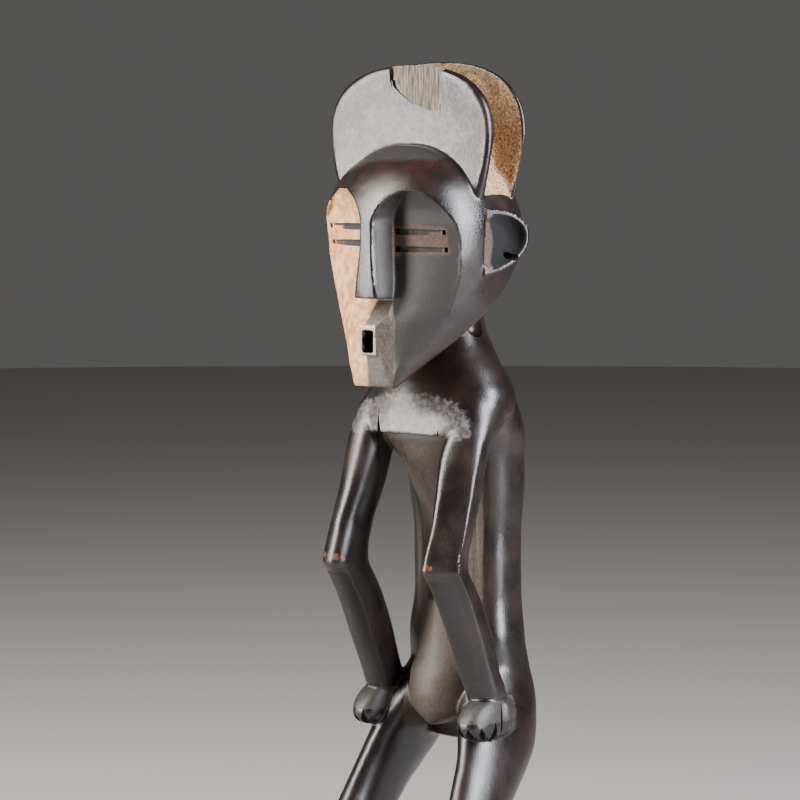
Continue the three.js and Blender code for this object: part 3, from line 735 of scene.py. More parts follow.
    def chip_low(self, x: np.ndarray | float) -> np.ndarray:
        """The height of the chip's lower edge."""
        edge = np.array(self.chip_edge[:5])
        return np.interp(x, edge[:, 0], edge[:, 1])

    def chip_end(self, z: np.ndarray | float) -> np.ndarray:
        """How far the chip reaches to the left side at each height."""
        edge = np.array(self.chip_edge[4:])
        return np.interp(z, edge[:, 1], edge[:, 0])

    def grain_groove(
        self, mesh: bmesh.types.BMesh, low: tuple[float, float], top: float, width: float, depth: float
    ) -> None:
        """Adds the cutter of one groove along the grain: a V that runs out at its lower end.

        Args:
            mesh: The mesh that gets it.
            low: Where it starts, in X and Z.
            top: The height where it ends.
            width: How wide it is at the face.
            depth: The depth of its tip at the top, as a place along Y.
        """
        x, z = low
        levels = ((z, 0.0), (z + 3, 0.5), (z + 8, 0.85), (top, 1.0))
        mouth = self.front_face - 8
        start = self.front_face + 1.5
        add_tube(mesh, levels, 3, lambda level, corner: Vector((
            x + width * (0, 1, 0.4)[corner],
            (mouth, mouth, start + (depth - start) * level[1])[corner],
            level[0],
        )))

    def chip_cuts(self) -> list[bpy.types.Object]:
        """The torn grain of the chip: its floor, grooves side by side, a notch and a crack."""
        draw = random.Random(4)
        mesh = bmesh.new()
        outline = [(self.chip_edge[0][0], self.chip_above), *self.chip_edge]
        add_prism(mesh, [(x, self.front_face - 8, z) for x, z in outline],
                  (0, self.chip_floor - self.front_face + 8, 0))
        for vert in mesh.verts:
            if vert.co.y > self.front_face:
                vert.co.y -= self.chip_slope * (self.top - vert.co.z)
        tools = [as_object("chip_floor", mesh)]
        left, right = self.chip_edge[0][0], self.chip_edge[4][0] + 3
        width = (right - left) / self.chip_strips
        for start in (0, 1):
            mesh = bmesh.new()
            for k in range(start, self.chip_strips, 2):
                x = left + k * width
                low = (x, float(self.chip_low(x)) - draw.uniform(-2.5, 4.5))
                self.grain_groove(
                    mesh, low, self.chip_above, width * draw.uniform(0.6, 1.5),
                    self.chip_floor + draw.choice((0.4, 0.8, 1.4, 2.4)),
                )
            tools.append(as_object("chip_grooves", mesh))
        mesh = bmesh.new()
        for k in range(8):
            x = right + 1.5 + k * 2.2
            self.grain_groove(mesh, (x, draw.uniform(739, 746)), draw.uniform(756, 764), 0.9,
                              self.front_face + 2.2 + draw.uniform(0.1, 0.5))
        self.grain_groove(mesh, (left - 1.5, 747), 764, 1.2, self.front_face + 3.6)
        tools.append(as_object("chip_scores", mesh))
        mesh = bmesh.new()
        above = self.chip_above
        notch = (
            (left - 0.6, above), (left + 2.4, above), (left + 2.2, 770), (left + 1.4, 760), (left, 766),
        )
        add_prism(mesh, [(x, self.front_face - 4, z) for x, z in notch], (0, 8, 0))
        tools.append(as_object("chip_notch", mesh))
        return tools


@dataclass
class Head:
    """The skull, the hollowed heart-shaped face, the nose, the mouth, the eyes and the ears."""

    rows: tuple[tuple[float, ...], ...] = (
        (528, 21.5, -84, 0, -74, 4.5), (536, 28, -85.2, 10, -62, 3.2), (545, 36, -86.2, 18, -50, 2.7),
        (556, 45, -87.4, 24, -44, 2.2), (567, 53, -88.8, 30, -38, 2.0), (580, 61.5, -91, 36, -30, 1.9),
        (594, 67.5, -93, 40, -24, 1.95), (612, 71.5, -93.5, 44, -20, 2.2),
        (634, 74, -93.5, 47, -18, 2.45), (656, 75.5, -93, 48, -18, 2.4),
    )
    crown: float = 719.5
    dome_levels: int = 26
    dome_square: float = 2.25
    chin_front: float = -79
    chin_height: float = 527.5
    jaw_rise: float = 45
    # Height, edge of the nose, foot of its wall, rim, and the depth of each.
    field_rows: tuple[tuple[float, ...], ...] = (
        (531, 18.6, 19.4, 20.8, -83.4, -82.4, -81.4), (540, 13.8, 20.5, 27.8, -85.2, -81.2, -76.6),
        (553, 10.0, 20.0, 38.4, -87.2, -81.0, -67.5), (577, 8.0, 19.5, 51.4, -88.8, -80.0, -60.0),
        (595, 10.9, 12.5, 58.7, -93.5, -73.5, -56.8), (612, 8.8, 11.6, 64.2, -93.5, -70.8, -55.2),
        (628, 6.8, 10.2, 66.6, -93.5, -69.8, -55.6), (640, 5.9, 9.6, 67.5, -93.5, -69.5, -57.1),
        (655, 5.5, 10.0, 65.7, -93.0, -70.0, -61.6),
        (666, 9.5, 13.5, 58.8, -91.5, -71.0, -64.6), (675, 17.0, 20.5, 50.2, -88.5, -73.5, -70.2),
        (681, 27.0, 29.5, 39.9, -84.5, -77.0, -75.2),
    )
    field_bulge: float = 2.5
    floor_steps: int = 26
    wall_steps: int = 14
    wall_bulge: float = 2.4
    before_face: float = -130
    nose_base: float = 597
    nose_half: float = 9.5
    nose_lean: float = 1.3
    lip_root: float = -72
    lip_depth: float = -88.4
    mouth_middle: float = -0.3
    mouth_low: float = 554.7
    mouth_high: float = 572.2
    mouth_half: float = 5.7
    mouth_depth: float = 26
    mouth_rim_half: float = 7.55
    mouth_rim_out: float = 1.0
    mouth_rim_low: float = 1.6
    mouth_rim_high: float = 4.0
    # The two slots of each eye: their heights, how far out they reach, and how tall they are next
    # to the nose and at the outer end. The left eye comes first.
    eye_heights: tuple[tuple[float, float], ...] = ((649, 635.5), (652, 639))
    eye_from: float = 10.8
    eye_to: tuple[float, float] = (57, 62)
    eye_tall: tuple[float, float] = (4.8, 5.5)
    eye_short: tuple[float, float] = (3.8, 3.6)
    ear_y: float = -35
    ear_z: float = 640.2
    ear_height: float = 51
    ear_reach: float = 41
    ear_lean: float = 0.12
    ear_inner: float = 62
    ear_outer: float = 87
    ear_wall: float = 3.6
    ear_floor: float = 71.5
    ear_slope: float = -17
    hole_y: float = -8
    hole_z: float = 629.3
    hole_radius: float = 3.5

    def skull(self) -> bpy.types.Object:
        """The skull and jaw before the face is cut."""
        rows = np.array([(z, -h, h, f, b, w, s, 0) for z, h, f, b, w, s in self.rows], float)
        levels = list(eased(rows, heights_between(rows[0, 0], rows[-1, 0], 2.5)))
        z, _, half, front, back, wide, _, _ = rows[-1]
        for i in range(1, self.dome_levels + 1):
            turn = math.pi / 2 * i / (self.dome_levels + 0.35)
            shrink = math.cos(turn)
            square = rows[-1, 6] + (self.dome_square - rows[-1, 6]) * min(1, i / 5)
            levels.append(np.array((
                z + (self.crown - z) * math.sin(turn), -half * shrink, half * shrink,
                wide + (front - wide) * shrink, wide + (back - wide) * shrink, wide, square, 0,
            )))
        mesh = bmesh.new()
        sides = 128
        add_tube(mesh, levels, sides, lambda row, k: ring_point(row, 2 * math.pi * (k + 0.5) / sides))
        return as_object("skull", mesh)

    def jaw_cut(self) -> bpy.types.Object:
        """The space under the jaw, which rises backwards from the chin."""
        mesh = bmesh.new()
        turn = (
            Matrix.Translation((0, self.chin_front, self.chin_height))
            @ Matrix.Rotation(math.radians(self.jaw_rise), 4, "X")
        )
        add_block(mesh, (-150, 0, -200), (150, 300, 0), turn)
        return as_object("jaw_cut", mesh)

    def field_at(self, z: np.ndarray) -> np.ndarray:
        """The face's measures at each height, as in field_rows."""
        rows = np.array(self.field_rows)
        return eased(rows, np.clip(np.asarray(z, float), rows[0, 0], rows[-1, 0]))

    def floor_depth(self, x: np.ndarray, z: np.ndarray) -> np.ndarray:
        """The depth of the hollowed face at places on its floor."""
        _, _, foot, rim, _, foot_y, rim_y = self.field_at(z).T
        across = np.clip((x - foot) / (rim - foot), 0, 1)
        return foot_y + (rim_y - foot_y) * across - self.field_bulge * np.sin(np.pi * across)

    def fields(self) -> bpy.types.Object:
        """The space cut away in front of both cheeks and eyes."""
        mesh = bmesh.new()
        sides = self.floor_steps + self.wall_steps + 2

        def place(row: np.ndarray, k: int, side: int) -> Vector:
            """The point with a given number of the cutter for one side."""
            z, nose, foot, rim, nose_y, foot_y, rim_y = row
            nose += side * self.nose_lean * float(fade(z, 608, 640))
            if k < 2:
                return Vector(((nose, rim)[k], self.before_face, z))
            if k < self.floor_steps + 2:
                t = (k - 2) / (self.floor_steps - 1)
                depth = rim_y + (foot_y - rim_y) * t - self.field_bulge * math.sin(math.pi * t)
                return Vector((rim + (foot - rim) * t, depth, z))
            t = (k - self.floor_steps - 1) / self.wall_steps
            tall = float(within(z, 600, 652, 8))
            swell = self.wall_bulge * math.sin(math.pi * (1 - t)) ** 0.8 * tall
            nick = 1.3 * tall * float(bump(np.array(1 - t), 0.1, 0.07))
            return Vector((
                foot + (nose - foot) * t + swell - nick, foot_y + (nose_y - foot_y) * t, z,
            ))

        rows = np.array(self.field_rows)
        levels = self.field_at(heights_between(rows[0, 0], rows[-1, 0], 1.5))
        for side in (1, -1):
            flip = Vector((side, 1, 1))
            add_tube(mesh, levels, sides, lambda row, k: place(row, k, side) * flip)
        return as_object("fields", mesh)

    def lip_cut(self) -> bpy.types.Object:
        """The undercut below the nose, in front of the upper lip."""
        mesh = bmesh.new()
        ledge = self.mouth_high + self.mouth_rim_high - 3
        profile = [
            (self.lip_root, self.nose_base), (self.before_face, self.nose_base),
            (self.before_face, ledge), (self.lip_depth - 0.6, ledge), (self.lip_depth, ledge + 4),
        ]
        half = self.nose_half + 15
        add_prism(mesh, [(-half, y, z) for y, z in profile], (2 * half, 0, 0))
        return as_object("lip_cut", mesh)

    def mouth_rim(self) -> bpy.types.Object:
        """The raised rim round the mouth."""
        mesh = bmesh.new()
        front = self.lip_depth - self.mouth_rim_out
        middle, half = self.mouth_middle, self.mouth_rim_half
        add_block(
            mesh, (middle - half, front, self.mouth_low - self.mouth_rim_low),
            (middle + half, front + 10, self.mouth_high + self.mouth_rim_high),
        )
        bmesh.ops.bevel(
            mesh, geom=mesh.edges[:], offset=1.0, segments=3, profile=0.5, affect="EDGES",
            material=-1,
        )
        return as_object("mouth_rim", mesh)

    def mouth_hole(self) -> bpy.types.Object:
        """The deep square hole of the mouth."""
        mesh = bmesh.new()
        front = self.lip_depth - self.mouth_rim_out
        middle, half = self.mouth_middle, self.mouth_half
        add_block(
            mesh, (middle - half, front - 5, self.mouth_low),
            (middle + half, front + self.mouth_depth, self.mouth_high),
        )
        return as_object("mouth_hole", mesh)

    def eye_slot(self, mesh: bmesh.types.BMesh, eye: int, z: float) -> None:
        """Adds the cutter of one slot.

        Args:
            mesh: The mesh that gets it.
            eye: 0 for the left eye and 1 for the right one.
            z: The height of the slot.
        """
        to = self.eye_to[eye]
        near_y, far_y = self.floor_depth(np.array((self.eye_from, to)), np.array((z, z)))
        length = math.hypot(to - self.eye_from, far_y - near_y)
        turn = (
            Matrix.Diagonal((1 - 2 * eye, 1, 1, 1))
            @ Matrix.Translation((self.eye_from, near_y, z))
            @ Matrix.Rotation(math.atan2(far_y - near_y, to - self.eye_from), 4, "Z")
        )
        tall, short = self.eye_tall[eye] / 2, self.eye_short[eye] / 2
        crown = self.field_bulge
        levels = (
            (0, tall, 7), (3.2, tall, 7), (3.6, tall, 2.6), (length * 0.5, tall * 0.95, 2.2 - crown),
            (length - 5.4, short, 0.6 - crown * 0.3), (length - 3.4, short, 0.2 - crown * 0.2),
            (length - 3.0, short, 5), (length, short, 5),
        )
        add_tube(mesh, levels, 4, lambda level, k: turn @ Vector((
            level[0], (-10, level[2], level[2], -10)[k], level[1] * (-1, -1, 1, 1)[k],
        )))

    def eye_slots(self) -> bpy.types.Object:
        """Two slots on each side, each with a floor that rises outwards and a pit at both ends."""
        mesh = bmesh.new()
        for eye, heights in enumerate(self.eye_heights):
            for z in heights:
                self.eye_slot(mesh, eye, z)
        return as_object("eye_slots", mesh)

    def half_round(self, margin: float) -> list[tuple[float, float]]:
        """The ear's outline in Y and Z, smaller by margin, with its open side forwards."""
        steps = 48
        points = []
        for i in range(steps + 1):
            angle = (i / steps - 0.5) * math.pi
            back = (self.ear_reach - margin) * math.cos(angle)
            up = (self.ear_height / 2 - margin) * math.sin(angle)
            points.append((self.ear_y + back, self.ear_z + up + self.ear_lean * back))
        return points

    def ears(self) -> bpy.types.Object:
        """Both ears as solid half rounds, cut on a slope that opens them forwards."""
        mesh = bmesh.new()
        outline = [(self.ear_inner, y, z) for y, z in self.half_round(0)]
        add_prism(mesh, outline, (self.ear_outer + 5 - self.ear_inner, 0, 0))
        slope = math.radians(self.ear_slope)
        cut = bmesh.ops.bisect_plane(
            mesh, geom=mesh.verts[:] + mesh.edges[:] + mesh.faces[:], dist=1e-4,
            plane_co=Vector((self.ear_outer - 1, self.ear_y + self.ear_reach, self.ear_z)),
            plane_no=Vector((math.cos(slope), math.sin(slope), 0)), clear_outer=True,
        )["geom_cut"]
        bmesh.ops.edgeloop_fill(mesh, edges=[e for e in cut if isinstance(e, bmesh.types.BMEdge)])
        add_other_side(mesh)
        return as_object("ears", mesh)

    def ear_hollows(self) -> bpy.types.Object:
        """The bowls of both ears."""
        mesh = bmesh.new()
        steps = 8
        reach = self.ear_outer + 20 - self.ear_floor

        def place(level: float, k: int) -> Vector:
            """The point of the bowl with a given number."""
            round_off = self.ear_wall + 6 * (1 - level) ** 2.2
            y, z = self.half_round(round_off)[k]
            return Vector((self.ear_floor + (9 * level if level < 1 else reach), y, z))

        add_tube(mesh, [i / steps for i in range(steps + 1)], len(self.half_round(0)), place)
        add_other_side(mesh)
        return as_object("ear_hollows", mesh)

    def ear_holes(self) -> bpy.types.Object:
        """The drilled hole in each ear."""
        mesh = bmesh.new()
        place = Matrix.Translation((self.ear_floor, self.hole_y, self.hole_z)) @ Matrix.Rotation(
            math.pi / 2, 4, "Y"
        )
        bmesh.ops.create_cone(
            mesh, cap_ends=True, segments=40, radius1=self.hole_radius, radius2=self.hole_radius,
            depth=30, matrix=place,
        )
        add_other_side(mesh)
        return as_object("ear_holes", mesh)


# Finishes


def linear(colour: str) -> tuple[float, float, float, float]:
    """An sRGB hex colour as linear values."""
    values = [int(colour[i:i + 2], 16) / 255 for i in (1, 3, 5)]
    return (*[v / 12.92 if v <= 0.04045 else ((v + 0.055) / 1.055) ** 2.4 for v in values], 1)


def per_metre(size_mm: float) -> float:
    """The scale of a pattern whose features are a number of millimetres wide."""
    return 1000 / size_mm


def add_node(
    tree: bpy.types.NodeTree,
    kind: str,
    settings: dict[str, object] | None = None,
    inputs: dict[str | int, object] | None = None,
) -> bpy.types.Node:
    """Adds one node with its settings and links.

    Args:
        tree: The material's nodes.
        kind: The node's type.
        settings: Its own settings.
        inputs: A value or another node's output for each of its sockets.

    Returns:
        The new node.
    """
    node = tree.nodes.new(kind)
    for name, value in (settings or {}).items():
        setattr(node, name, value)
    for socket, value in (inputs or {}).items():
        if isinstance(value, bpy.types.NodeSocket):
            tree.links.new(value, node.inputs[socket])
        else:
            node.inputs[socket].default_value = value
    return node


@dataclass(frozen=True)
class Coat:
    """A colour that lies over the wood where its mark says.

    The two colours alternate in spots of spot_mm, which run up the grain where along_grain is set,
    and ragged says how much the edge breaks up.
    """

    mark: Mark
    light: str
    dark: str
    spot_mm: float
    roughness: float
    ragged: float = 0.5
    cover: float = 1.0
    along_grain: bool = False


@dataclass(frozen=True)
class PolishedWood:
    """Dense hardwood, blackened with oil and smoke and rubbed bright by hands.

    The polish gives broad grey lights on nearly black wood. Fine pores and fibres run up the
    grain. Pigment, dust and bare worn spots are dull and lighter.
    """

    name: str = "dark_polished_hardwood"
    deep: str = "#0f0b0a"
    warm: str = "#241814"
    polish: float = 0.23
    polish_spread: float = 0.15
    fibre_mm: float = 1.1
    # How fast the fibres' pattern is read up the grain, against across it.
    fibre_pace: float = 0.07
    cloud_mm: float = 34
    grit_mm: float = 1.6
    relief_m: float = 0.0003
    coats: tuple[Coat, ...] = (
        # Painted sheen: a pale grey wax bloom laid on the front lobe and the chest where the lights'
        # reflection falls.
        Coat(Mark.BLOOM_AND_SHEEN, "#6e6a68", "#383433", 4, 0.36, 0.8, 0.7),
        Coat(Mark.DULL, "#332e2b", "#1d1a18", 2.5, 0.55, 0.6, 0.85),
        # Brown wood on the belly and flanks, and painted light on the upward-facing floor of the neck
        # hollows.
        Coat(Mark.BROWN_AND_PIT_LIGHT, "#42352c", "#2a211b", 1.8, 0.6, 0.4, 0.9),
        Coat(Mark.UMBER, "#2c130d", "#160a08", 12, 0.36, 0.6, 0.9),
        # Painted shade, near black, on the forearms' front facets and the top of the dome.
        Coat(Mark.PAINTED_SHADE, "#15110f", "#080605", 3, 0.8, 0.6, 0.9),
        # Painted shade: a dark copy of the face's pale pigment on the figure's left cheek, which lies in
        # the nose's shadow.
        Coat(Mark.SHADED_CHEEK, "#1c1611", "#0c0a07", 1.3, 0.6, 0.3, 0.97),
        Coat(Mark.CRUST, "#5e4030", "#33221a", 1.6, 0.75, 0.9, 0.7),
        # Painted shade: a grey copy of the pale pigment on the forward faces of the muzzle's left half.
        Coat(Mark.SHADED_MUZZLE, "#4e463f", "#332c27", 2.4, 0.5, 0.5, 0.9),
        Coat(Mark.PALE, "#d9a878", "#a87648", 8, 0.6, 0.25, 1.0),
        Coat(Mark.OCHRE, "#bb9873", "#6a5238", 1.7, 0.85, 0.35, 1.0),
        # Darker ochre in clouds, more of it towards the top and the middle line.
        Coat(Mark.DARKER_OCHRE, "#6a5238", "#3d3022", 3.0, 0.85, 0.8, 0.6),
        Coat(Mark.RIM, "#b5aca6", "#8a817b", 2, 0.45, 0.3, 0.85),
        Coat(Mark.SLOT, "#8d8278", "#4a423b", 1.2, 0.6, 0.3, 0.95),
        Coat(Mark.DUST, "#5e4c3a", "#3d3126", 2, 0.85, 0.8, 0.6),
        Coat(Mark.EDGE, "#5f534c", "#3a312c", 4, 0.3, 0.6, 0.35),
        Coat(Mark.TORN, "#857768", "#0f0c0a", 1.2, 0.7, 0.2, 1.0, along_grain=True),
        Coat(Mark.WORN, "#84492e", "#4b2718", 2.5, 0.4, 0.9, 0.8),
        # Painted shade, near black, inside the mouth, the eye slots' deep ends, the ear bowls and the cuts
        # between the fingers.
        Coat(Mark.HOLLOW_SHADE, "#040303", "#020202", 3, 1.0, 0.2, 1.0),
        # Dirt and painted shade, near black, in creases and hollows that lie below the smoothed form.
        Coat(Mark.DIRT_AND_SHADE, "#0c0908", "#050404", 3, 0.8, 0.4, 0.9),
    )

    def material(self) -> bpy.types.Material:
        """Makes the material."""
        made = bpy.data.materials.new(self.name)
        made.use_nodes = True
        tree = made.node_tree
        shader = tree.nodes["Principled BSDF"]
        place = add_node(tree, "ShaderNodeTexCoord").outputs["Object"]
        along = add_node(tree, "ShaderNodeMapping", inputs={
            "Vector": place, "Scale": (1, 1, self.fibre_pace),
        })
        fibres = add_node(tree, "ShaderNodeTexNoise", inputs={
            "Vector": along.outputs[0], "Scale": per_metre(self.fibre_mm), "Detail": 3.0,
            "Roughness": 0.6,
        }).outputs["Fac"]
        clouds = add_node(tree, "ShaderNodeTexNoise", inputs={
            "Vector": place, "Scale": per_metre(self.cloud_mm), "Detail": 4.0, "Roughness": 0.55,
        }).outputs["Fac"]
        tone = add_node(tree, "ShaderNodeMath", {"operation": "MULTIPLY_ADD"}, {
            0: fibres, 1: 0.45, 2: add_node(tree, "ShaderNodeMath", {"operation": "MULTIPLY"}, {
                0: clouds, 1: 0.7}).outputs[0],
        }).outputs[0]
        shade = add_node(tree, "ShaderNodeMapRange", {"interpolation_type": "SMOOTHSTEP"}, {
            "Value": tone, "From Min": 0.45, "From Max": 0.8,
        }).outputs[0]
        colour = add_node(tree, "ShaderNodeMix", {"data_type": "RGBA"}, {
            0: shade, 6: linear(self.deep), 7: linear(self.warm)}).outputs[2]
        gloss = add_node(tree, "ShaderNodeMapRange", inputs={
            "Value": clouds, "From Min": 0.3, "From Max": 0.7, "To Min": self.polish,
            "To Max": self.polish + self.polish_spread,
        }).outputs[0]
        for coat in self.coats:
            pattern = along.outputs[0] if coat.along_grain else place
            colour, gloss = self.lay(tree, pattern, coat, colour, gloss)
        tree.links.new(colour, shader.inputs["Base Color"])
        tree.links.new(gloss, shader.inputs["Roughness"])
        grit = add_node(tree, "ShaderNodeTexNoise", inputs={
            "Vector": place, "Scale": per_metre(self.grit_mm), "Detail": 4.0, "Roughness": 0.7,
        }).outputs["Fac"]
        relief = add_node(tree, "ShaderNodeMath", {"operation": "MULTIPLY_ADD"}, {
            0: fibres, 1: 0.6, 2: grit}).outputs[0]
        bumps = add_node(tree, "ShaderNodeBump", inputs={
            "Strength": 0.5, "Distance": self.relief_m, "Height": relief,
        })
        tree.links.new(bumps.outputs[0], shader.inputs["Normal"])
        shader.inputs["IOR"].default_value = 1.55
        return made

    def lay(
        self,
        tree: bpy.types.NodeTree,
        place: bpy.types.NodeSocket,
        coat: Coat,
        colour: bpy.types.NodeSocket,
        gloss: bpy.types.NodeSocket,
    ) -> tuple[bpy.types.NodeSocket, bpy.types.NodeSocket]:
        """Lays one coat over the colour and roughness so far.

        Args:
            tree: The material's nodes.
            place: Where on the object the surface is, as the coat's pattern reads it.
            coat: The coat to lay.
            colour: The colour below it.
            gloss: The roughness below it.

        Returns:
            The new colour and roughness.
        """
        painted = add_node(tree, "ShaderNodeAttribute", {"attribute_name": coat.mark.value})
        spots = add_node(tree, "ShaderNodeTexNoise", inputs={
            "Vector": place, "Scale": per_metre(coat.spot_mm), "Detail": 5.0, "Roughness": 0.62,
        }).outputs["Fac"]
        broken = add_node(tree, "ShaderNodeMath", {"operation": "MULTIPLY_ADD"}, {
            0: spots, 1: coat.ragged, 2: painted.outputs["Fac"]}).outputs[0]
        share = add_node(tree, "ShaderNodeMapRange", {"interpolation_type": "SMOOTHSTEP"}, {
            "Value": broken, "From Min": 0.32 + coat.ragged / 2, "From Max": 0.68 + coat.ragged / 2,
            "To Max": coat.cover,
        }).outputs[0]
        spread = add_node(tree, "ShaderNodeMapRange", {"interpolation_type": "SMOOTHSTEP"}, {
            "Value": spots, "From Min": 0.36, "From Max": 0.64}).outputs[0]
        tint = add_node(tree, "ShaderNodeMix", {"data_type": "RGBA"}, {
            0: spread, 6: linear(coat.dark), 7: linear(coat.light)}).outputs[2]
        mixed = add_node(tree, "ShaderNodeMix", {"data_type": "RGBA"}, {
            0: share, 6: colour, 7: tint}).outputs[2]
        duller = add_node(tree, "ShaderNodeMix", {"data_type": "FLOAT"}, {
            0: share, 2: gloss, 3: coat.roughness}).outputs[0]
        return mixed, duller


@dataclass(frozen=True)
class Plaster:
    """A pale matt floor, as painted plaster or paper looks."""

    name: str = "pale_matt_floor"
    colour: str = "#aeaba7"

    def material(self) -> bpy.types.Material:
        """Makes the material."""
        made = bpy.data.materials.new(self.name)
        made.use_nodes = True
        shader = made.node_tree.nodes["Principled BSDF"]
        shader.inputs["Base Color"].default_value = linear(self.colour)
        shader.inputs["Roughness"].default_value = 0.9
        return made


# The whole figure


@dataclass
class Figure:
    """The carving: its sub-assemblies joined, cut, rubbed smooth and coloured."""

    trunk: Trunk = field(default_factory=Trunk)
    arms: Arms = field(default_factory=Arms)
    legs: Legs = field(default_factory=Legs)
    crest: Crest = field(default_factory=Crest)
    head: Head = field(default_factory=Head)
    finish: PolishedWood = field(default_factory=PolishedWood)
    grain: float = 1.0
    most_triangles: int = 190_000
    # How often the joints are rubbed smooth, then every arris, and the form that hollows lie below.
    joint_rubs: int = 90
    arris_rubs: int = 3
    form_rubs: int = 14
    sharp_degrees: float = 42
    # Where handling wore the wood bare: the X, Y, Z and reach of each spot.
    worn_spots: tuple[tuple[float, ...], ...] = (
        (41, -74, 388, 4.2), (44, -72.5, 387.5, 3.2), (47.5, -69.5, 387, 2.6),
        (51, -66, 386.5, 2.2), (55, -61.5, 386, 1.9), (59, -56.5, 386, 1.6),
        (-61, -72.5, 389.5, 4.4), (-56, -76, 390.5, 3.2), (-50, -78, 390.5, 3.2),
        (-44, -77, 389.5, 3.6), (-41, -72, 388, 3.0),
        (52, 43, 521, 2.6), (51, 48, 511, 2.6), (50, 51, 501, 2.0),
    )

    def rough_out(self) -> Blank:
        """Joins the bodies and makes the large cuts."""
        head = self.head
        blank = Blank(head.skull())
        blank.cut(head.jaw_cut())
        bodies = [*self.crest.bodies(), head.ears(), *self.trunk.bodies(), *self.arms.bodies(),
                  *self.legs.bodies()]
        for body in bodies:
            blank.join(body)
        blank.cut(head.fields())
        blank.cut(head.lip_cut())
        blank.join(head.mouth_rim())
        for tool in (head.mouth_hole(), head.ear_hollows(), self.legs.toe_cuts()):
            blank.cut(tool)
        return blank

    def is_head(self, points: np.ndarray) -> np.ndarray:
        """1 above the plane of the jaw and 0 below it, with a soft edge."""
        height = self.head.chin_height + (points[:, 1] - self.head.chin_front)
        return fade(points[:, 2] - height, -5, -1)

    def smooth_joints(self, blank: Blank) -> None:
        """Rubs the joints of the trunk and the limbs smooth, and rounds every arris a little."""
        blank.work("REMESH", mode="VOXEL", voxel_size=self.grain)
        points = blank.points()
        y, z = points[:, 1], points[:, 2]
        body = 1 - self.is_head(points)
        shoulders = body * within(z, 499, 575, 8)
        seat = within(z, 200, 318, 14) * fade(y, 0, 22) * body
        ankles = within(z, 27, 70, 6) * 0.6
        lobes = within(z, 690, 712, 12) * within(y, -30, 60, 8) * self.is_head(points)
        blank.smooth(np.clip(shoulders + seat + ankles + lobes, 0, 1), self.joint_rubs)
        blank.smooth(np.full(len(points), 1.0), self.arris_rubs)

    def carve_details(self, blank: Blank) -> None:
        """Makes the crisp cuts that were left until the surface was smooth."""
        tools = [self.trunk.neck_hollow(), self.trunk.flank_slits(), self.trunk.ledge_notches(),
                 self.head.eye_slots(), self.head.ear_holes(), self.arms.finger_cuts(),
                 self.arms.thumb_grooves(), *self.crest.chip_cuts()]
        for tool in tools:
            blank.cut(tool)

    def weather(self, blank: Blank) -> None:
        """Gives the surface the unevenness of handwork and the pits of the rear lobe."""
        points, normals = blank.points(), blank.normals()
        self.crest.shape_lobes(points, normals)
        everywhere = np.full(len(points), True)
        rough = self.ochre(points, normals)
        lift = 0.35 * roughness_at(points, everywhere, 24, 3) + 0.12 * roughness_at(
            points, everywhere, 9, 11)
        coarse = roughness_at(points, rough > 0.05, 5, 21)
        pits = roughness_at(points, rough > 0.05, 2.4, 31)
        lift += rough * (0.5 * coarse - 0.9 * fade(pits, 0.25, 0.6))
        blank.move_to(points + normals * lift[:, None])

    def ochre(self, points: np.ndarray, normals: np.ndarray) -> np.ndarray:
        """Where the lobes face each other, inside their polished edges."""
        crest = self.crest
        share = crest.outline_share(points, crest.rear_half, crest.rear_top)
        inside = 1 - fade(share, 0.955, 0.985)
        rear = within(points[:, 1], crest.rear_face - 1, crest.rear_face + 4, 3) * fade(
            -normals[:, 1], 0.3, 0.7)
        front = within(points[:, 1], crest.front_back - 1, crest.front_back + 4, 2) * fade(
            normals[:, 1], 0.3, 0.7)
        floor = within(points[:, 1], crest.front_back, crest.rear_face, 2)
        above = fade(points[:, 2], 652, 664)
        return above * np.clip(rear * inside + front * inside + floor * inside, 0, 1)

    def face_marks(self, points: np.ndarray, normals: np.ndarray) -> dict[Mark, np.ndarray]:
        """Works out where the face's own coats lie."""
        x, y, z = points.T
        head = self.head
        nose, foot, rim = head.field_at(z)[:, 1:4].T
        side = np.abs(x)
        face = within(z, head.field_rows[0][0], head.field_rows[-1][0], 1.5) * (y < -45)
        depth = y - head.floor_depth(side, z)
        on_floor = face * within(side, foot - 1, rim, 0.8) * within(depth, -1.6, 12, 1)
        beyond = face * within(side, rim - 1, rim + 1.5, 1.5) * (z < 672)
        on_wall = face * within(side, nose - 0.5, foot + 3, 1) * fade(y, -91.5, -89)
        muzzle = within(z, 528, head.nose_base, 1) * (1 - fade(side, foot, foot + 1.5)) * (y < -60)
        right = 1 - fade(x, -7, 1)
        across = np.abs(x - head.mouth_middle)
        front = head.lip_depth - head.mouth_rim_out
        opening = within(z, head.mouth_low, head.mouth_high, 0.5) * within(
            across, 0, head.mouth_half, 0.5) * (y < -55)
        throat = opening * fade(y, front + 1.0, front + 2.2)
        ring = within(z, head.mouth_low - head.mouth_rim_low, head.mouth_high + head.mouth_rim_high, 0.4)
        ring *= within(across, 0, head.mouth_rim_half, 0.4) * (y < front + 1.6) * (1 - throat)
        muzzle *= 1 - np.clip(ring + throat, 0, 1)
        eye_x = within(side, 11, 57, 2)
        upper, lower = head.eye_heights[0]
        eyes = np.clip(bump(z, upper, 7) + bump(z, lower, 7), 0, 1)
        patch = on_floor * eye_x * np.clip(eyes * 1.3 + within(z, lower, upper, 3), 0, 1)
        slots = np.zeros(len(points))
        for eye, own in enumerate((x > 0, x < 0)):
            half = head.eye_tall[eye] / 2
            for height in head.eye_heights[eye]:
                slots += own * within(z, height - half, height + half, 0.3)
        cut = slots * within(side, 10, 65, 0.5) * face * fade(depth, 0.5, 1.2)
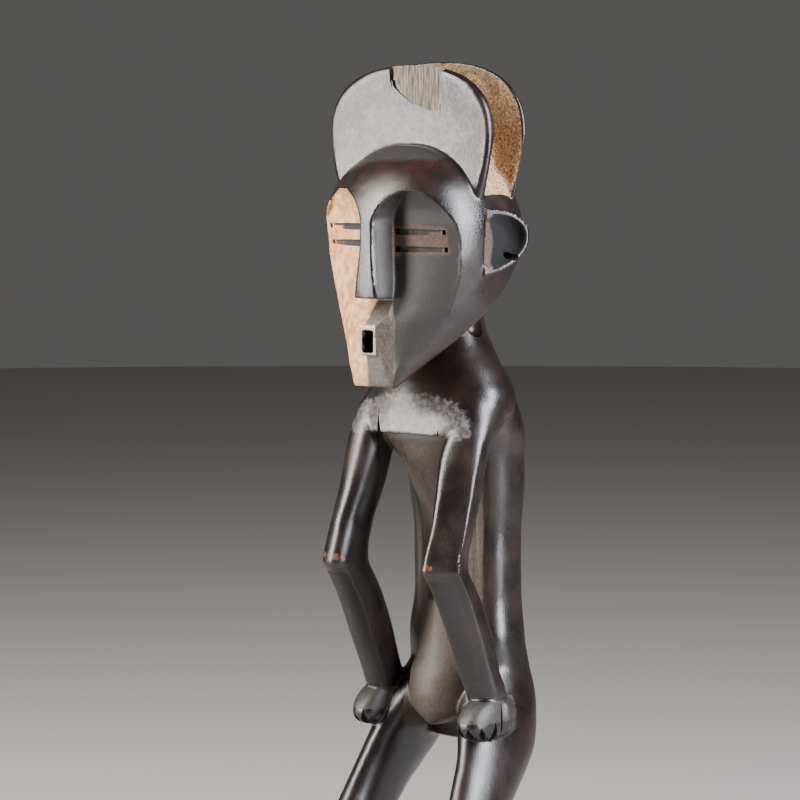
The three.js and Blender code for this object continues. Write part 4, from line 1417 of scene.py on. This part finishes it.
        return {
            Mark.PALE: np.clip((on_floor + beyond + on_wall) * (x < 0) + muzzle * right, 0, 1),
            # Painted shade on the forward faces of the muzzle's left half.
            Mark.SHADED_MUZZLE: muzzle * (1 - right) * fade(-normals[:, 1], 0.2, 0.6),
            Mark.RIM: ring,
            # Painted shade on the figure's left cheek and the nose wall beside it.
            Mark.SHADED_CHEEK: np.clip(on_floor + on_wall, 0, 1) * (x > 0),
            Mark.CRUST: patch * (x > 0) * (1 - cut),
            Mark.SLOT: cut * (1 - fade(depth, 4.2, 5.5)) * np.where(x < 0, 1, 0.5),
            # Painted shade inside the mouth and in the deep ends of the eye slots.
            Mark.HOLLOW_SHADE: np.clip(throat + cut * fade(depth, 4.2, 5.5), 0, 1),
        }

    def crest_marks(self, points: np.ndarray, normals: np.ndarray) -> dict[Mark, np.ndarray]:
        """Works out where the crest's own coats lie."""
        x, y, z = points.T
        crest = self.crest
        ochre = self.ochre(points, normals)
        clouds = roughness_at(points, ochre > 0.02, 26, 51)
        chip = self.in_chip(points, -0.5) * fade(self.lobe_depth(points), 0.15, 0.5)
        lobe = within(y, crest.front_face - 2, crest.front_face + 4.5, 1) * fade(z, 690, 712)
        # Painted sheen: brightest round its middle, where the key light's reflection falls, with painted
        # shade at the lower right beside the dome.
        (middle_x, middle_z), (reach_x, reach_z) = crest.sheen_middle, crest.sheen_reach
        distance_from_sheen = np.hypot((x - middle_x) / reach_x, (z - middle_z) / reach_z)
        sheen_share = 0.3 + 0.7 * bump(distance_from_sheen, 0, 1.15)
        sheen_share += 0.35 * roughness_at(points, lobe > 0.02, 17, 61)
        sheen_share *= 1 - 0.7 * fade(x, 46, 76) * (1 - fade(z, 712, 742))
        return {
            Mark.OCHRE: ochre,
            Mark.DARKER_OCHRE: ochre * fade(clouds + 0.006 * (z - 738) - 0.004 * (x - 45), 0.05, 0.5),
            Mark.TORN: chip,
            Mark.BLOOM_AND_SHEEN: lobe * fade(-normals[:, 1], 0.4, 0.8) * (1 - chip) * sheen_share,
        }

    def lobe_depth(self, points: np.ndarray) -> np.ndarray:
        """How far each point lies below the front lobe's dished face, in millimetres."""
        share = np.clip(1 - self.crest.radius_share(points, self.crest.half) ** 2, 0, 1)
        return points[:, 1] - self.crest.front_face - self.crest.dish * share

    def in_chip(self, points: np.ndarray, margin: float) -> np.ndarray:
        """1 inside the chip's outline made larger by a margin, and 0 outside it."""
        x, y, z = points.T
        crest = self.crest
        inside = (z > crest.chip_low(x) - margin) * (x > crest.chip_edge[0][0] - margin)
        inside = inside * (x < crest.chip_end(z) + margin) * (y < crest.front_back - 1)
        return inside.astype(float)

    def marks(self, blank: Blank) -> dict[Mark, np.ndarray]:
        """Works out where each coat of colour lies."""
        points, normals = blank.points(), blank.normals()
        x, y, z = points.T
        head, side = self.head, np.abs(x)
        is_head = self.is_head(points)
        dome = fade(z, 668, 684) * is_head * within(y, -95, -46, 4) * (z < 719)
        body = 1 - is_head
        belly = body * within(z, 252, 340, 20) * within(side, 0, 26, 5) * (1 - fade(y, 4, 20))
        recess = within(z, 405, 487, 12) * within(side, 0, 36, 5) * (1 - fade(y, 0, 25))
        recess *= fade(y, -38, -35)
        flank = within(z, 330, 430, 14) * within(side, 22, 33, 3) * within(y, -2, 14, 6)
        smoother = self.hollowness(blank)
        crease = within(y, -44, -38, 1.5) * within(z, 700, 720, 3) * fade(smoother, 0.1, 0.3)
        crease *= fade(-x, -6, 4)
        bowl = within(side, head.ear_floor - 4, 92, 1) * fade(self.inside_ear(points), 0.4, 0.8)
        front = fade(-y - 0.3 * np.abs(z - head.ear_z), 14, 30) * (side < 76)
        # The neck hollows: painted light on their floor and painted shade under their roof.
        pit = np.linalg.norm((np.abs(points) - np.abs(self.trunk.hollow)) / self.trunk.hollow_radii, axis=1)
        pit = body * (1 - fade(pit, 0.96, 1.02)) * (side < 40)
        chin = within(z, 526, 545, 6) * within(x, 14, 30, 4) * (y < -60)
        # Painted sheen on the chest plate, where it faces the key light.
        chest = body * within(z, 494, 512, 16) * fade(-normals[:, 1], 0.4, 0.95) * (side < 60)
        chest *= fade(-y, 24, 38)
        hands = within(z, 262, 276, 2) * within(side, 36, 72, 1) * fade(-y, -26, -20) * (y > -45)
        # Painted shade on the forearms' downward-facing fronts.
        shaded_forearm = body * within(z, 284, 374, 6) * within(side, 41, 57, 3) * (y < -18)
        shaded_forearm *= fade(-normals[:, 1], 0.25, 0.5)
        found = {
            **self.face_marks(points, normals),
            **self.crest_marks(points, normals),
            # Brown wood, and painted light on the neck hollows' upward-facing floor.
            Mark.BROWN_AND_PIT_LIGHT: np.clip(
                belly + 0.55 * recess + 0.6 * flank + 0.6 * pit * fade(normals[:, 2], 0.1, 0.5), 0, 1),
            Mark.DULL: hands * body,
            # Painted shade on the forearms and the top of the dome.
            Mark.PAINTED_SHADE: np.clip(shaded_forearm + dome * fade(z, 699, 711), 0, 1),
            Mark.UMBER: np.clip(dome * bump(np.hypot(x - 8, z - 700), 0, 60) + chin, 0, 1),
            Mark.WORN: self.elbow_wear(points),
            # Painted shade in creases and hollows and under the roof of the neck hollows, as well as dirt.
            Mark.DIRT_AND_SHADE: np.clip(
                fade(smoother, 0.35, 0.8) * (1 - crease) * (1 - self.in_chip(points, 22))
                + pit * fade(-normals[:, 2], -0.5, 0.1), 0, 1),
            Mark.EDGE: fade(-smoother, 0.25, 0.7),
            Mark.DUST: np.clip(crease + bowl * front, 0, 1),
        }
        # Painted shade in the ear bowls and the V cuts between the fingers.
        found[Mark.HOLLOW_SHADE] = np.clip(
            found[Mark.HOLLOW_SHADE] + bowl * (1 - front) + self.arms.in_finger_cuts(points), 0, 1)
        found[Mark.BLOOM_AND_SHEEN] = np.clip(found[Mark.BLOOM_AND_SHEEN] + chest, 0, 1)
        return found

    def inside_ear(self, points: np.ndarray) -> np.ndarray:
        """1 well inside the ear's outline and 0 outside it."""
        head = self.head
        back = points[:, 1] - head.ear_y
        across = back / (head.ear_reach - head.ear_wall)
        up = (points[:, 2] - head.ear_z - head.ear_lean * back) / (head.ear_height / 2 - head.ear_wall)
        return (1 - fade(np.hypot(across, up), 1.0, 1.05)) * fade(across, 0.0, 0.05)

    def elbow_wear(self, points: np.ndarray) -> np.ndarray:
        """Where handling has worn the elbows and the edge of the back through to bare wood."""
        wear = np.zeros(len(points))
        for *middle, reach in self.worn_spots:
            away = np.linalg.norm(points - np.array(middle), axis=1)
            wear = np.maximum(wear, 1 - fade(away, reach * 0.3, reach * 1.2))
        return wear

    def hollowness(self, blank: Blank) -> np.ndarray:
        """How far the surface lies below its own smoothed form, in millimetres, at each point."""
        data = blank.piece.data
        points, normals = blank.points(), blank.normals()
        copy = Blank(bpy.data.objects.new("smoothed", data.copy()))
        bpy.context.scene.collection.objects.link(copy.piece)
        copy.work("SMOOTH", factor=0.5, iterations=self.form_rubs)
        away = copy.points() - points
        old = copy.piece.data
        bpy.data.objects.remove(copy.piece)
        bpy.data.meshes.remove(old)
        return np.einsum("ij,ij->i", away, normals)

    def paint(self, blank: Blank) -> None:
        """Writes the marks onto the mesh."""
        for mark, values in self.marks(blank).items():
            layer = blank.piece.data.attributes.new(mark.value, "FLOAT", "POINT")
            layer.data.foreach_set("value", np.asarray(values, np.float32))

    def build(self) -> bpy.types.Object:
        """Carves and dresses the figure.

        Returns:
            The finished piece, in metres.
        """
        blank = self.rough_out()
        log.info("roughed out: %d faces", len(blank.piece.data.polygons))
        self.smooth_joints(blank)
        log.info("smoothed: %d faces", len(blank.piece.data.polygons))
        self.weather(blank)
        self.carve_details(blank)
        log.info("carved: %d faces", len(blank.piece.data.polygons))
        self.paint(blank)
        blank.work("TRIANGULATE")
        share = self.most_triangles / len(blank.piece.data.polygons)
        blank.work("DECIMATE", ratio=min(1, share))
        piece = blank.piece
        piece.name = "carved_figure"
        piece.data.name = "carved_figure"
        piece.data.transform(Matrix.Scale(METRES, 4))
        piece.data.shade_smooth()
        piece.data.set_sharp_from_angle(angle=math.radians(self.sharp_degrees))
        piece.data.materials.clear()
        piece.data.materials.append(self.finish.material())
        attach(piece, "root")
        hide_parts("figure")
        log.info("%s: %d triangles", piece.name, len(piece.data.polygons))
        return piece


@dataclass
class Studio:
    """The camera, the floor and the lights."""

    target: tuple[float, float, float] = (-0.0245, -0.0206, 0.512)
    azimuth: float = 40
    elevation: float = 5
    distance: float = 2.6664
    lens: float = 150
    floor_radius: float = 7
    sky: str = "#e6e4e2"
    sky_power: float = 0.12

    def camera(self) -> None:
        """Stands the camera where the photograph was taken."""
        data = bpy.data.cameras.new("camera")
        data.lens = self.lens
        data.clip_end = 50
        camera = bpy.data.objects.new("camera", data)
        bpy.context.scene.collection.objects.link(camera)
        camera.location = Vector(self.target) + self.away(self.azimuth, self.elevation) * self.distance
        self.aim(camera)
        bpy.context.scene.camera = camera

    def away(self, azimuth: float, elevation: float) -> Vector:
        """The direction from the figure to a place round it, in degrees from its front."""
        turn, lift = math.radians(azimuth), math.radians(elevation)
        return Vector((
            math.sin(turn) * math.cos(lift), -math.cos(turn) * math.cos(lift), math.sin(lift),
        ))

    def aim(self, item: bpy.types.Object) -> None:
        """Turns a camera or a light to look at the figure."""
        towards = Vector(self.target) - item.location
        item.rotation_euler = towards.to_track_quat("-Z", "Y").to_euler()

    def floor(self) -> None:
        """Lays the floor."""
        mesh = bmesh.new()
        bmesh.ops.create_circle(mesh, cap_ends=True, segments=96, radius=self.floor_radius)
        floor = as_object("studio_floor", mesh)
        floor.data.materials.append(Plaster().material())

    def light(
        self, name: str, azimuth: float, elevation: float, distance: float,
        size: tuple[float, float], power: float, colour: str,
    ) -> None:
        """Hangs one soft light.

        Args:
            name: What the light is.
            azimuth: Where it stands round the figure, in degrees from its front.
            elevation: How high it stands, in degrees.
            distance: How far off it stands, in metres.
            size: The width and height of its panel, in metres.
            power: Its power, in watts.
            colour: Its colour.
        """
        data = bpy.data.lights.new(name, "AREA")
        data.shape = "RECTANGLE"
        data.size, data.size_y = size
        data.energy = power
        data.color = linear(colour)[:3]
        lamp = bpy.data.objects.new(name, data)
        bpy.context.scene.collection.objects.link(lamp)
        lamp.location = Vector(self.target) + self.away(azimuth, elevation) * distance
        self.aim(lamp)

    def world(self) -> None:
        """Surrounds the figure with soft pale light."""
        world = bpy.data.worlds.new("studio")
        world.use_nodes = True
        back = world.node_tree.nodes["Background"]
        back.inputs["Color"].default_value = linear(self.sky)
        back.inputs["Strength"].default_value = self.sky_power
        bpy.context.scene.world = world

    def build(self) -> None:
        """Sets up the studio."""
        self.camera()
        self.floor()
        self.world()
        self.light("key_panel", -34, 23, 1.8, (0.45, 2.2), 125, "#fffaf5")
        self.light("side_panel", 94, 21, 1.8, (0.6, 1.9), 150, "#f4f6ff")


def main() -> None:
    """Builds the studio and the figure."""
    logging.basicConfig(level=logging.INFO, format="%(message)s")
    Studio().build()
    piece = Figure().build()
    log.info("%s rides root and replaces figure", piece.name)


if __name__ == "__main__":
    main()
